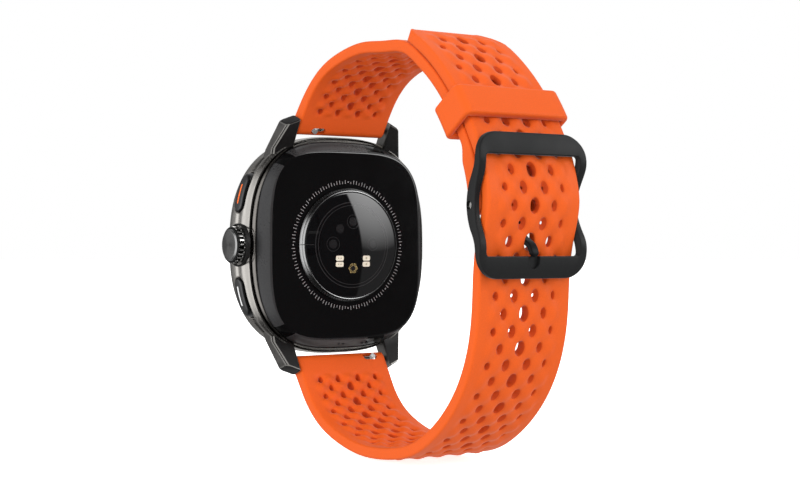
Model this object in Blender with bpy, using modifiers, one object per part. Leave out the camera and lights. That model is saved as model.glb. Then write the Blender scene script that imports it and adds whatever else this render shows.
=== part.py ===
"""GPS running watch: cushion case, rear heart-rate sensor, crown, two buttons, buckled silicone strap.

Frame: +Z towards 12 o'clock, +X through the crown, the display faces -Y and the closed strap loop
reaches out towards +Y. The origin is the middle of the opening that the wrist fills.
Lengths are in millimetres and become metres in row_point. The y of every dimension counts from the
flat face of the rear cover, and grows towards the wrist.
"""
import math

import bmesh
import bpy
import numpy as np
from mathutils import Matrix, Vector

MM = 0.001
REAR_FACE_Y = -30.0           # rear cover's face, from the origin

# Case shells: half width, half height, outline exponent, y
CASE_SECTIONS = [
    (15.0, 16.0, 2.9, -3.62),
    (21.95, 23.1, 2.9, -3.62),
    (22.35, 23.35, 2.95, -4.3),
    (22.95, 23.65, 3.0, -5.4),
    (22.95, 23.65, 3.0, -6.5),
    (22.6, 23.4, 3.0, -7.0),
    (23.1, 23.7, 3.0, -7.5),
    (23.1, 23.7, 3.0, -9.6),
    (22.5, 23.3, 3.0, -11.3),
    (15.0, 16.0, 3.2, -11.3),
]
REAR_BEZEL_SECTIONS = [
    (21.44, 22.64, 2.9, -4.3),
    (21.44, 22.64, 2.9, -3.72),
    (18.85, 20.2, 3.8, -0.12),
    (18.45, 19.83, 3.9, -0.02),
    (18.45, 19.83, 3.9, -1.35),
    (17.0, 18.4, 3.8, -1.35),
    (17.0, 18.4, 3.8, -3.2),
    (20.4, 21.6, 3.1, -4.3),
]
FRONT_BEZEL_SECTIONS = [
    (22.3, 23.1, 3.0, -11.6),
    (21.9, 22.7, 2.9, -12.3),
    (20.1, 20.1, 2.0, -13.3),
    (19.0, 19.0, 2.0, -13.15),
    (19.0, 19.0, 2.0, -12.15),
    (17.9, 17.9, 2.0, -12.15),
    (17.9, 17.9, 2.0, -11.6),
]
OUTLINE_POINTS = 48
REAR_COVER_HALF = (18.3, 19.68)
REAR_COVER_EXPONENT = 3.9
REAR_COVER_THICKNESS = 1.2
BEZEL_SEAT_Y = -4.65
CAVITY_HALF = (20.2, 21.4)
CAVITY_EXPONENT = 3.2

# Front glass and display
CRYSTAL_RADIUS = 18.85
CRYSTAL_Y = (-13.1, -12.25)
DISPLAY_RADIUS = 17.7
DISPLAY_Y = (-12.15, -11.2)

# Sensor window in the rear cover
SENSOR_RADIUS = 12.0
SENSOR_HOLE_RADIUS = 12.1
DOME_RADIUS = 11.15
DOME_HEIGHT = 2.2
DOME_EDGE_HEIGHT = 1.35
DOME_SHELL = 0.8
SENSOR_BOARD_Y = (-0.85, -0.35)
EMITTER_Y = (-0.25, 0.95)

# Crown and buttons, on the +X flank
CROWN_Y = -6.4
CROWN_BORE_RADIUS = 1.55
CROWN_RADIUS = 3.85
CROWN_X = (23.2, 24.95)
CROWN_POCKET_RADIUS = 4.2
CROWN_POCKET_X = 22.42
CROWN_CAP_RADIUS = 2.85
CROWN_STEM_RADIUS = 0.8
CROWN_STEM_X = (17.95, 24.4)
CROWN_NOTCHES = 16
BUTTON_Y = -7.0
BUTTON_WIDTH = 3.4
BUTTON_Z = (6.9, 15.0)
BUTTON_STEM_Z = 10.9
BUTTON_OUTER = (23.5, 24.2, 3.0)
BUTTON_DEPTH = 1.6
BUTTON_MARGIN = 0.25
BUTTON_TRAVEL_ROOM = 0.75
INLAY_Z = (8.6, 12.7)
INLAY_HALF = 0.23
PRESS_STEM_END = 17.95
SWITCH_X = (16.2, 17.35)

# Lugs and spring bars
LUG_INNER_X = 11.1
BAR_Y = -3.8
BAR_Z = 24.9
BAR_RADIUS = 0.75
BAR_TIP_RADIUS = 0.45
BAR_TIP_X = 12.4
BAR_HALF = 10.4
STRAP_END_CLEARANCE = 1.93
RELEASE_TRAVEL = 1.6
KNOB_LEAN = 38.0              # degrees from the wrist's direction, square to the strap's run
KNOB_RADIUS = 0.55
UPPER_KNOB_X = 6.6
LOWER_KNOB_X = -7.9

# Straps
STRAP_HALF_LUG = 10.8
STRAP_HALF_BUCKLE = 10.15
STRAP_TAPER_Y = (0.0, 45.0)
STRAP_THICKNESS = 2.3
STRAP_LUG_THICKNESS = 3.3
STRAP_LOOP_THICKNESS = 3.5
STRAP_LOOP_RUN = (12.5, 4.0)         # where the loop's extra thickness starts, and over what length
STRAP_BORE_RADIUS = 0.92
CLOSURE_CENTRE = (14.85, -3.75)      # both straps run round this centre under the keeper
TAIL_RADIUS = 50.0
SHORT_RADIUS = 47.5
HOLE_PITCH = 6.7
HOLE_HALF = (1.2, 1.75)
HOLE_COUNT = 7
TONGUE_HOLE_Z = 0.55

# Buckle and keeper
BUCKLE_BAR = (58.9, 7.0)
BUCKLE_BAR_RADIUS = 0.7
BUCKLE_BAR_HALF = 11.35
BUCKLE_CORNER_HALF = 12.45
BUCKLE_WAIST_HALF = 11.75
BUCKLE_WINDOW_HALF = 10.6
BUCKLE_CROSSBAR_Z = (9.0, 13.0)      # each crossbar, from the buckle bar
BUCKLE_CORNER_RADIUS = 3.4
TONGUE_HALF = 0.97
TONGUE_THICKNESS = 1.0
KEEPER_ANGLES = (31.1, 40.1)
KEEPER_GAP = 0.3
KEEPER_WALL = 1.55
KEEPER_HALF = 12.25
KEEPER_EDGE = 0.6

COLOURS = {
    "case_metal": ((0.10, 0.095, 0.09, 1), 0.32, 1.0),
    "gloss_black": ((0.012, 0.012, 0.013, 1), 0.12, 0.0),
    "glass_black": ((0.01, 0.01, 0.012, 1), 0.05, 0.0),
    "polished_steel": ((0.55, 0.54, 0.52, 1), 0.2, 1.0),
    "buckle_metal": ((0.028, 0.028, 0.029, 1), 0.5, 0.6),
    "strap_silicone": ((0.94, 0.15, 0.03, 1), 0.5, 0.0),
    "inlay_orange": ((0.95, 0.16, 0.01, 1), 0.4, 0.0),
    "inlay_white": ((0.85, 0.85, 0.85, 1), 0.4, 0.0),
    "black_plastic": ((0.02, 0.02, 0.02, 1), 0.5, 0.0),
    "seal_rubber": ((0.01, 0.01, 0.01, 1), 0.7, 0.0),
    "circuit_board": ((0.02, 0.12, 0.06, 1), 0.45, 0.0),
    "battery_foil": ((0.35, 0.35, 0.37, 1), 0.35, 0.7),
    "copper": ((0.72, 0.34, 0.16, 1), 0.3, 1.0),
    "gold": ((0.75, 0.55, 0.22, 1), 0.3, 1.0),
    "emitter_cream": ((0.86, 0.84, 0.72, 1), 0.4, 0.0),
    "ceramic": ((0.6, 0.58, 0.5, 1), 0.4, 0.0),
}


def row_point(x, y, z):
    """Millimetres, y from the rear cover's face, to metres in the part's own frame."""
    return Vector((x, y + REAR_FACE_Y, z)) * MM


def clear_scene():
    for obj in list(bpy.data.objects):
        bpy.data.objects.remove(obj, do_unlink=True)


def make_collection(name):
    collection = bpy.data.collections.new(name)
    bpy.context.scene.collection.children.link(collection)
    return collection


def make_material(name):
    colour, roughness, metallic = COLOURS[name]
    material = bpy.data.materials.new(name)
    material.use_nodes = True
    shader = material.node_tree.nodes["Principled BSDF"]
    shader.inputs["Base Color"].default_value = colour
    shader.inputs["Roughness"].default_value = roughness
    shader.inputs["Metallic"].default_value = metallic
    material.diffuse_color = colour
    return material


clear_scene()
PARTS = make_collection("gps_running_watch")
CUTTERS = make_collection("cutters")


def as_part(obj, name, colour, pivot=None, smooth=35.0):
    """Names a solid, gives it a material of its own and puts its origin on its pivot."""
    obj.name = name
    obj.data.name = name
    obj.data.materials.clear()
    material = make_material(colour)
    material.name = name + "_material"
    obj.data.materials.append(material)
    obj.data.shade_smooth()
    obj.data.set_sharp_from_angle(angle=math.radians(smooth))
    if pivot is not None:
        origin = row_point(*pivot)
        obj.data.transform(Matrix.Translation(-origin))
        obj.location = origin
    CUTTERS.objects.unlink(obj)
    PARTS.objects.link(obj)
    return obj


def solid(mesh):
    """An unnamed solid with its doubles welded and its faces pointing out; starts as a guide."""
    work = bmesh.new()
    work.from_mesh(mesh)
    bmesh.ops.remove_doubles(work, verts=work.verts, dist=1e-7)
    bmesh.ops.recalc_face_normals(work, faces=work.faces)
    work.to_mesh(mesh)
    work.free()
    obj = bpy.data.objects.new("guide", mesh)
    obj.hide_render = True
    obj.display_type = "WIRE"
    CUTTERS.objects.link(obj)
    return obj


def evaluated(obj):
    """The solid that an object's modifiers make, in world space; the object itself goes."""
    bpy.context.view_layer.update()
    graph = bpy.context.evaluated_depsgraph_get()
    mesh = bpy.data.meshes.new_from_object(obj.evaluated_get(graph))
    mesh.transform(obj.matrix_world)
    bpy.data.objects.remove(obj, do_unlink=True)
    return solid(mesh)


def show(obj):
    obj.hide_render = False
    obj.display_type = "TEXTURED"
    return obj


def boolean(obj, other, operation):
    modifier = obj.modifiers.new(operation.lower(), "BOOLEAN")
    modifier.operation = operation
    modifier.solver = "EXACT"
    modifier.object = other
    return obj


def cut(obj, *cutters):
    for cutter in cutters:
        boolean(obj, cutter, "DIFFERENCE")
    return obj


def join(obj, *others):
    for other in others:
        boolean(obj, other, "UNION")
    return obj


def bevel(obj, width, segments=1, angle=35.0):
    modifier = obj.modifiers.new("bevel", "BEVEL")
    modifier.width = width * MM
    modifier.segments = segments
    modifier.limit_method = "ANGLE"
    modifier.angle_limit = math.radians(angle)
    return obj


def box(low, high):
    work = bmesh.new()
    bmesh.ops.create_cube(work, size=1.0)
    centre = row_point(*[(a + b) / 2 for a, b in zip(low, high)])
    size = Vector([abs(b - a) * MM for a, b in zip(low, high)])
    bmesh.ops.transform(work, matrix=Matrix.LocRotScale(centre, None, size), verts=work.verts)
    mesh = bpy.data.meshes.new("box")
    work.to_mesh(mesh)
    work.free()
    return solid(mesh)


AXIS_TURNS = {
    "X": Matrix.Rotation(math.radians(90), 4, "Y"),
    "Y": Matrix.Rotation(math.radians(-90), 4, "X"),
}


def turned(profile, centre, axis, steps=40):
    """A closed profile of (radius, distance along the axis) turned about an axis through centre."""
    mesh = bpy.data.meshes.new("profile")
    points = [(radius * MM, 0.0, along * MM) for radius, along in profile]
    edges = [(i, (i + 1) % len(points)) for i in range(len(points))]
    on_axis = [i for i, (radius, along) in enumerate(profile) if radius == 0]
    if len(on_axis) == 2:
        edges = [edge for edge in edges if set(edge) != set(on_axis)]
    mesh.from_pydata(points, edges, [])
    obj = bpy.data.objects.new("turned", mesh)
    CUTTERS.objects.link(obj)
    screw = obj.modifiers.new("screw", "SCREW")
    screw.steps = steps
    screw.render_steps = steps
    screw.use_merge_vertices = True
    screw.merge_threshold = 1e-6
    obj.matrix_world = Matrix.Translation(row_point(*centre)) @ AXIS_TURNS[axis]
    return evaluated(obj)


def rod(radius, low, high, centre, axis, steps=16):
    profile = [(0, high), (radius, high), (radius, low), (0, low)]
    return turned(profile, centre, axis, steps)


def ring(outer, inner, low, high, centre, axis, steps=24):
    profile = [(outer, high), (outer, low), (inner, low), (inner, high)]
    return turned(profile, centre, axis, steps)


def prism(loops, axis, low, high):
    """Flat outlines, the second and later ones being holes, extruded along X (y, z) or Y (x, z)."""
    curve = bpy.data.curves.new("outline", "CURVE")
    curve.dimensions = "2D"
    curve.fill_mode = "BOTH"
    curve.extrude = abs(high - low) / 2 * MM
    for loop in loops:
        spline = curve.splines.new("POLY")
        spline.points.add(len(loop) - 1)
        for point, (u, v) in zip(spline.points, loop):
            point.co = (u * MM, v * MM, 0, 1)
        spline.use_cyclic_u = True
    obj = bpy.data.objects.new("prism", curve)
    CUTTERS.objects.link(obj)
    middle = (low + high) / 2
    if axis == "X":
        columns = ((0, 1, 0), (0, 0, 1), (1, 0, 0))
        offset = row_point(middle, 0, 0)
    else:
        columns = ((1, 0, 0), (0, 0, 1), (0, -1, 0))
        offset = row_point(0, middle, 0)
    turn = Matrix(columns).transposed().to_4x4()
    obj.matrix_world = Matrix.Translation(offset) @ turn
    return evaluated(obj)


def superellipse(half_x, half_z, exponent, count=OUTLINE_POINTS):
    """The case's cushion outline, as (x, z) points; an exponent of 2 is an ellipse."""
    points = []
    for i in range(count):
        angle = 2 * math.pi * i / count
        c = math.cos(angle)
        s = math.sin(angle)
        reach = (abs(c / half_x) ** exponent + abs(s / half_z) ** exponent) ** (-1 / exponent)
        points.append((reach * c, reach * s))
    return points


def cushion_ring(sections):
    """A closed ring lofted through cushion outlines, from the first section round to the first."""
    vertices = []
    faces = []
    for half_x, half_z, exponent, y in sections:
        vertices += [row_point(x, y, z) for x, z in superellipse(half_x, half_z, exponent)]
    count = OUTLINE_POINTS
    for i in range(len(sections)):
        here = i * count
        after = (i + 1) % len(sections) * count
        for j in range(count):
            k = (j + 1) % count
            faces.append((here + j, here + k, after + k, after + j))
    mesh = bpy.data.meshes.new("cushion_ring")
    mesh.from_pydata(vertices, [], faces)
    return solid(mesh)


def loft(near, far):
    """A solid between two outlines of (x, y, z) points, point to point."""
    count = len(near)
    vertices = [row_point(*point) for point in near + far]
    faces = [tuple(range(count)), tuple(range(count, 2 * count))]
    for i in range(count):
        k = (i + 1) % count
        faces.append((i, k, count + k, count + i))
    mesh = bpy.data.meshes.new("loft")
    mesh.from_pydata(vertices, [], faces)
    obj = solid(mesh)
    work = bmesh.new()
    work.from_mesh(obj.data)
    bmesh.ops.triangulate(work, faces=work.faces)
    work.to_mesh(obj.data)
    work.free()
    return obj


def spline_through(points, count):
    """Points at even steps of chord length on the natural cubic through the given points."""
    knots = np.array(points, dtype=float)
    chords = np.linalg.norm(np.diff(knots, axis=0), axis=1)
    at = np.concatenate([[0.0], np.cumsum(chords)])
    size = len(knots)
    system = np.eye(size)
    wanted = np.zeros_like(knots)
    for i in range(1, size - 1):
        before = chords[i - 1]
        after = chords[i]
        system[i, i - 1:i + 2] = (before, 2 * (before + after), after)
        wanted[i] = 6 * ((knots[i + 1] - knots[i]) / after - (knots[i] - knots[i - 1]) / before)
    bend = np.linalg.solve(system, wanted)
    result = []
    for s in np.linspace(0, at[-1], count):
        i = min(int(np.searchsorted(at, s, side="right")) - 1, size - 2)
        width = chords[i]
        left = at[i + 1] - s
        right = s - at[i]
        point = (bend[i] * left ** 3 + bend[i + 1] * right ** 3) / (6 * width)
        point = point + (knots[i] / width - bend[i] * width / 6) * left
        point = point + (knots[i + 1] / width - bend[i + 1] * width / 6) * right
        result.append(point)
    return np.array(result)


def closure_arc(radius, start, end, count):
    """Points on a circle about the closure's centre, where tail and short strap lie together."""
    angles = np.radians(np.linspace(start, end, count))
    y, z = CLOSURE_CENTRE
    return [(y + radius * math.cos(a), z + radius * math.sin(a)) for a in angles]


# Outer faces of the straps in (y, z), from the lug to the free end
UPPER_OUTER = (
    [(-5.07, 25.96), (-2.6, 28.9), (0.75, 32.4), (6.7, 36.5), (14.7, 39.0), (22.3, 39.8)]
    + [(29.0, 39.3)]
    + closure_arc(SHORT_RADIUS, 62, 24, 7)
    + [(59.6, 11.3), (60.36, 7.3)]
)
LOWER_OUTER = (
    [(-5.01, -26.02), (-2.8, -28.55), (0.3, -32.15), (6.1, -36.7), (13.3, -39.5), (20.0, -40.95)]
    + [(26.6, -41.35), (32.5, -40.9), (38.5, -39.6), (43.3, -37.4), (47.5, -34.6)]
    + [(51.5, -31.0), (55.0, -26.6)]
    + [(57.6, -21.6), (59.2, -16.3), (59.95, -10.5), (60.3, -5.0), (61.3, 0.6), (62.6, 5.0)]
    + [(63.0, 8.0), (62.3, 12.0), (60.9, 16.2)]
    + closure_arc(TAIL_RADIUS, 29, 61.8, 6)
)


def normals(line):
    """Unit normals to the left of a line's direction of travel."""
    along = np.gradient(line, axis=0)
    along /= np.linalg.norm(along, axis=1)[:, None]
    return np.stack([-along[:, 1], along[:, 0]], axis=1)


def distance_along(line):
    steps = np.linalg.norm(np.diff(line, axis=0), axis=1)
    return np.concatenate([[0.0], np.cumsum(steps)])


def half_circle(start, end, left, count=6):
    """Points between start and end on the half circle that has them as a diameter."""
    start = np.array(start)
    end = np.array(end)
    middle = (start + end) / 2
    arm = start - middle
    side = np.array([-arm[1], arm[0]]) * (1 if left else -1)
    angles = np.linspace(0, math.pi, count + 2)[1:-1]
    return [middle + arm * math.cos(a) + side * math.sin(a) for a in angles]


def strap_inner(outer, outward, end_thickness):
    """The wrist side of a strap: thick at the lug, thin along, and as given at its other end."""
    along = distance_along(outer)
    at_lug = np.clip(1 - along / 16, 0, 1) ** 2 * (STRAP_LUG_THICKNESS - STRAP_THICKNESS)
    from_end = along[-1] - along
    start, run = STRAP_LOOP_RUN
    at_end = np.clip((start - from_end) / run, 0, 1) * (end_thickness - STRAP_THICKNESS)
    return outer - outward * (STRAP_THICKNESS + at_lug + at_end)[:, None]


def taper(obj):
    """Narrows a strap from its lug width to its buckle width."""
    start, end = [(y + REAR_FACE_Y) * MM for y in STRAP_TAPER_Y]
    for vertex in obj.data.vertices:
        part = min(max((vertex.co.y - start) / (end - start), 0), 1)
        vertex.co.x *= 1 + part * (STRAP_HALF_BUCKLE / STRAP_HALF_LUG - 1)
    return obj


def release_slot(bar_z, knob_x):
    """The slot in the strap's wrist side for the knob of a quick-release pin."""
    side = math.copysign(1, knob_x)
    ends = sorted((knob_x + side * 0.9, knob_x - side * (RELEASE_TRAVEL + 0.9)))
    slot = box((ends[0], -0.75, -4.0), (ends[1], 0.75, 0))
    # From the bar the slot opens towards the wrist and away from the strap's run.
    lean = math.radians(52 if bar_z > 0 else -52)
    place = row_point(0, BAR_Y, bar_z)
    home = row_point(0, 0, 0)
    turn = Matrix.Rotation(lean - (0 if bar_z > 0 else math.pi), 4, "X")
    slot.data.transform(Matrix.Translation(place) @ turn @ Matrix.Translation(-home))
    return slot


def adjustment_holes(outer, outward):
    """Cutters for the holes down the middle of the long strap; the tongue sits in one of them."""
    along = distance_along(outer)
    rising = outer[:, 0] > 55
    tongue_at = np.interp(TONGUE_HOLE_Z, outer[rising, 1], along[rising])
    cutters = []
    for i in range(HOLE_COUNT):
        at = tongue_at + (i - 1) * HOLE_PITCH
        y = np.interp(at, along, outer[:, 0])
        z = np.interp(at, along, outer[:, 1])
        ny = np.interp(at, along, outward[:, 0])
        nz = np.interp(at, along, outward[:, 1])
        hole = rod(1.0, -1.0, 1.0, (0, 0, 0), "Y", steps=12)
        reach = STRAP_THICKNESS + 0.8
        shape = Matrix.Diagonal((HOLE_HALF[0], reach, HOLE_HALF[1], 1))
        home = row_point(0, 0, 0)
        place = row_point(0, y - ny * STRAP_THICKNESS / 2, z - nz * STRAP_THICKNESS / 2)
        turn = Matrix.Rotation(math.atan2(nz, ny), 4, "X")
        hole.data.transform(Matrix.Translation(place) @ turn @ shape @ Matrix.Translation(-home))
        cutters.append(hole)
    return cutters


def upper_strap():
    outer = spline_through(UPPER_OUTER, 38)
    outward = normals(outer)
    inner = strap_inner(outer, outward, STRAP_LOOP_THICKNESS)
    outline = list(outer) + half_circle(outer[-1], inner[-1], False)
    outline += list(inner[::-1]) + half_circle(inner[0], outer[0], False)
    strap = taper(prism([outline], "X", -STRAP_HALF_LUG, STRAP_HALF_LUG))
    bore = rod(STRAP_BORE_RADIUS, -12, 12, (0, BAR_Y, BAR_Z), "X")
    eye = rod(BUCKLE_BAR_RADIUS + 0.1, -12, 12, (0, *BUCKLE_BAR), "X")
    notch = box((-1.4, 56.2, 3.5), (1.4, 61.5, 9.6))
    cut(strap, bore, eye, notch, release_slot(BAR_Z, UPPER_KNOB_X))
    return as_part(show(strap), "upper_strap", "strap_silicone")


def lower_strap():
    outer = spline_through(LOWER_OUTER, 76)
    outward = -normals(outer)
    inner = strap_inner(outer, outward, STRAP_THICKNESS)
    outline = list(outer) + list(inner[::-1]) + half_circle(inner[0], outer[0], True)
    strap = taper(prism([outline], "X", -STRAP_HALF_LUG, STRAP_HALF_LUG))
    bore = rod(STRAP_BORE_RADIUS, -12, 12, (0, BAR_Y, -BAR_Z), "X")
    cut(strap, bore, release_slot(-BAR_Z, LOWER_KNOB_X), *adjustment_holes(outer, outward))
    return as_part(show(strap), "lower_strap", "strap_silicone")


def lug(side_x, side_z):
    """One strap horn, leaning towards the wrist, from its inner face out to its flank."""
    inner = [(-8.9, 17.0), (-7.0, 21.4), (-3.4, 27.4), (-0.5, 26.2), (-3.4, 21.0), (-4.4, 17.0)]
    outer = [(16.4, -8.9, 16.6), (16.0, -7.4, 20.0), (14.0, -4.7, 26.2)]
    outer += [(14.0, -1.15, 25.0), (16.0, -4.0, 20.2), (16.4, -4.4, 16.6)]
    near = [(side_x * LUG_INNER_X, y, side_z * z) for y, z in inner]
    far = [(side_x * x, y, side_z * z) for x, y, z in outer]
    return bevel(loft(near, far), 0.35, segments=1)


def flank_x(depth, z):
    """How far out a button's face lies at a height, or a face at some depth behind it."""
    half_x, half_z, exponent = BUTTON_OUTER
    return (half_x - depth) * (1 - (z / (half_z - depth)) ** exponent) ** (1 / exponent)


def button_outline(grow):
    """The banana outline of a button in (x, z), outer face first, grown all round by grow."""
    heights = np.linspace(BUTTON_Z[0] - grow, BUTTON_Z[1] + grow, 9)
    outside = [(flank_x(-2.0 if grow else 0.0, z), z) for z in heights]
    inside = [(flank_x(BUTTON_DEPTH + (BUTTON_TRAVEL_ROOM if grow else 0), z), z) for z in heights]
    return outside + inside[::-1]


def mirrored_z(obj):
    obj.data.transform(Matrix.Diagonal((1, 1, -1, 1)))
    obj.data.flip_normals()
    return obj


def button_pocket(side_z):
    half = BUTTON_WIDTH / 2 + BUTTON_MARGIN
    pocket = prism([button_outline(BUTTON_MARGIN)], "Y", BUTTON_Y - half, BUTTON_Y + half)
    return pocket if side_z > 0 else mirrored_z(pocket)


def midframe():
    body = cushion_ring(CASE_SECTIONS)
    join(body, *[lug(side_x, side_z) for side_x in (1, -1) for side_z in (1, -1)])
    bezel_seat = prism([superellipse(21.62, 22.82, 2.9)], "Y", BEZEL_SEAT_Y, 6.0)
    cavity = prism([superellipse(*CAVITY_HALF, CAVITY_EXPONENT)], "Y", -20.0, BEZEL_SEAT_Y + 0.2)
    cut(body, bezel_seat, cavity)
    cut(body, rod(CROWN_POCKET_RADIUS, CROWN_POCKET_X, 30, (0, CROWN_Y, 0), "X", 40))
    cut(body, rod(CROWN_BORE_RADIUS, 15, 30, (0, CROWN_Y, 0), "X", 22))
    half = LUG_INNER_X - 0.08
    for side in (1, -1):
        cut(body, rod(STRAP_END_CLEARANCE, -half, half, (0, BAR_Y, side * BAR_Z), "X", 24))
        cut(body, rod(0.55, -12.9, 12.9, (0, BAR_Y, side * BAR_Z), "X", 16))
        cut(body, button_pocket(side))
        cut(body, rod(0.85, 15, 30, (0, BUTTON_Y, side * BUTTON_STEM_Z), "X"))
    return as_part(show(body), "midframe", "case_metal")


def case_shells():
    front = cushion_ring(FRONT_BEZEL_SECTIONS)
    as_part(show(front), "front_bezel", "case_metal")
    rear = cushion_ring(REAR_BEZEL_SECTIONS)
    as_part(show(rear), "rear_bezel", "gloss_black", smooth=25)
    cover = prism([superellipse(*REAR_COVER_HALF, REAR_COVER_EXPONENT)], "Y", -REAR_COVER_THICKNESS, 0)
    cut(cover, rod(SENSOR_HOLE_RADIUS, -3, 3, (0, 0, 0), "Y", 48))
    as_part(show(cover), "rear_cover", "glass_black")
    gasket = prism([superellipse(21.2, 22.4, 3.0, 40), superellipse(20.5, 21.7, 3.1, 40)], "Y", -4.57, -4.4)
    as_part(show(gasket), "rear_gasket", "seal_rubber")
    glue = prism([superellipse(21.9, 22.7, 3.0, 40), superellipse(20.5, 21.6, 3.1, 40)], "Y", -11.52, -11.37)
    as_part(show(glue), "bezel_gasket", "seal_rubber")


def front_stack():
    low, high = CRYSTAL_Y
    edge = [(CRYSTAL_RADIUS - 0.35, low), (CRYSTAL_RADIUS, low + 0.35), (CRYSTAL_RADIUS, high), (0, high)]
    crystal = turned([(0, low)] + edge, (0, 0, 0), "Y", 40)
    as_part(show(crystal), "front_crystal", "glass_black")
    panel = rod(DISPLAY_RADIUS, *DISPLAY_Y, (0, 0, 0), "Y", 40)
    as_part(show(panel), "display_panel", "black_plastic")


def dome_profile():
    """The sensor dome's section: a shallow crown outside, a hollow for the sensor inside."""
    steps = 4
    rise = DOME_HEIGHT - DOME_EDGE_HEIGHT
    outside = []
    for i in range(steps + 1):
        radius = DOME_RADIUS * i / steps
        outside.append((radius, DOME_HEIGHT - rise * (i / steps) ** 2))
    inside_radius = DOME_RADIUS - DOME_SHELL
    inside = []
    for i in range(steps, -1, -1):
        radius = inside_radius * i / steps
        inside.append((radius, DOME_HEIGHT - DOME_SHELL - rise * (radius / DOME_RADIUS) ** 2))
    return outside + [(DOME_RADIUS, -1.1), (inside_radius, -1.1)] + inside


def sensor():
    collar = [(11.45, 1.3), (SENSOR_RADIUS, 0.2), (SENSOR_RADIUS, -1.2), (11.25, -1.2), (11.25, 1.3)]
    as_part(show(turned(collar, (0, 0, 0), "Y", 36)), "sensor_ring", "polished_steel")
    as_part(show(turned(dome_profile(), (0, 0, 0), "Y", 28)), "sensor_dome", "glass_black")
    board = rod(10.2, *SENSOR_BOARD_Y, (0, 0, 0), "Y", 36)
    as_part(show(board), "sensor_board", "circuit_board")
    barrier = ring(8.9, 8.3, EMITTER_Y[0], EMITTER_Y[1] - 0.35, (0, 0, 0), "Y", 36)
    as_part(show(barrier), "light_barrier", "black_plastic")
    for name, x in (("led_left", 3.3), ("led_right", -3.3)):
        led = box((x - 0.95, EMITTER_Y[0], -4.6), (x + 0.95, EMITTER_Y[1], -2.2))
        as_part(show(led), name, "emitter_cream")
    spots = {"photodiode_left": (4.9, 0.2), "photodiode_right": (-4.9, 0.2), "photodiode_top": (0.0, 4.9)}
    for name, (x, z) in spots.items():
        diode = rod(1.4, *EMITTER_Y, (x, 0, z), "Y", 20)
        as_part(show(diode), name, "glass_black")
    probe = ring(1.05, 0.55, *EMITTER_Y, (0, 0, -4.9), "Y", 20)
    as_part(show(probe), "skin_temperature_sensor", "gold")


def inner_parts():
    chassis = prism([superellipse(19.7, 20.9, 3.2, 40)], "Y", -10.95, -10.35)
    as_part(show(chassis), "inner_chassis", "black_plastic")
    battery = bevel(box((-15.5, -10.1, -11.5), (13.5, -6.9, 11.5)), 0.6)
    as_part(show(battery), "battery", "battery_foil")
    board = prism([superellipse(15.4, 18.6, 4.0, 40)], "Y", -6.6, -5.9)
    as_part(show(board), "main_board", "circuit_board")
    speaker = bevel(box((-8, -10.1, -19.6), (6, -7.2, -12.8)), 0.4)
    as_part(show(speaker), "speaker", "black_plastic")
    motor = rod(3.6, -10.1, -7.2, (-9, 0, 16), "Y")
    as_part(show(motor), "vibration_motor", "polished_steel")
    antenna = bevel(box((-1, -10.1, 12.8), (11, -7.4, 19.0)), 0.3)
    as_part(show(antenna), "gps_antenna", "ceramic")
    coil = ring(16.2, 13.0, -2.1, -1.5, (0, 0, 0), "Y", 36)
    as_part(show(coil), "charging_coil", "copper")
    for i, (x, z) in enumerate([(10, 13), (-10, 13), (-10, -13), (10, -13)]):
        head = [(0, -5.05), (1.0, -5.05), (1.0, -5.75), (0, -5.75)]
        screw = turned(head, (x, 0, z), "Y", 16)
        as_part(show(screw), f"board_screw_{i + 1}", "polished_steel")


def knob_with_notches():
    """The crown's grip: a turned knob with a seat for its cap and notches round its rim."""
    low, high = CROWN_X
    rim = [(3.0, high), (CROWN_RADIUS - 0.55, high), (CROWN_RADIUS, high - 0.5), (CROWN_RADIUS, low + 0.3)]
    back = [(CROWN_RADIUS - 0.3, low), (CROWN_STEM_RADIUS + 0.08, low), (CROWN_STEM_RADIUS + 0.08, 24.45)]
    knob = turned(rim + back + [(3.0, 24.45)], (0, CROWN_Y, 0), "X", 32)
    for i in range(CROWN_NOTCHES):
        angle = 2 * math.pi * i / CROWN_NOTCHES
        y = CROWN_Y + (CROWN_RADIUS + 0.12) * math.cos(angle)
        z = (CROWN_RADIUS + 0.12) * math.sin(angle)
        notch = rod(0.4, low + 0.35, high - 0.3, (0, y, z), "X", 4)
        cut(knob, notch)
    return knob


def crown():
    pivot = (0, CROWN_Y, 0)
    on_axis = (CROWN_X[0], CROWN_Y, 0)
    wall = [(1.5, 22.3), (1.5, 20.35), (0.9, 20.35), (0.9, 21.55), (1.2, 21.55), (1.2, 22.3)]
    as_part(show(turned(wall, pivot, "X", 22)), "crown_tube", "polished_steel")
    seal = ring(1.15, 0.86, 21.65, 22.2, pivot, "X", 22)
    as_part(show(seal), "crown_seal", "seal_rubber")
    stem = rod(CROWN_STEM_RADIUS, *CROWN_STEM_X, pivot, "X", 22)
    as_part(show(stem), "crown_stem", "polished_steel", on_axis)
    clip = ring(1.25, CROWN_STEM_RADIUS + 0.04, 19.55, 19.95, pivot, "X", 22)
    as_part(show(clip), "crown_retainer", "polished_steel", on_axis)
    as_part(show(knob_with_notches()), "crown_knob", "case_metal", on_axis)
    cap_edge = [(CROWN_CAP_RADIUS - 0.45, 25.3), (CROWN_CAP_RADIUS, 25.05), (CROWN_CAP_RADIUS, 24.55)]
    cap = turned([(0, 25.4)] + cap_edge + [(0, 24.55)], pivot, "X", 32)
    as_part(show(cap), "crown_cap", "polished_steel", on_axis)
    inner, outer = SWITCH_X
    switch = bevel(box((inner, CROWN_Y - 1.7, -2.2), (outer, CROWN_Y + 1.7, 2.2)), 0.2)
    as_part(show(switch), "crown_switch", "black_plastic")


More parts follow.
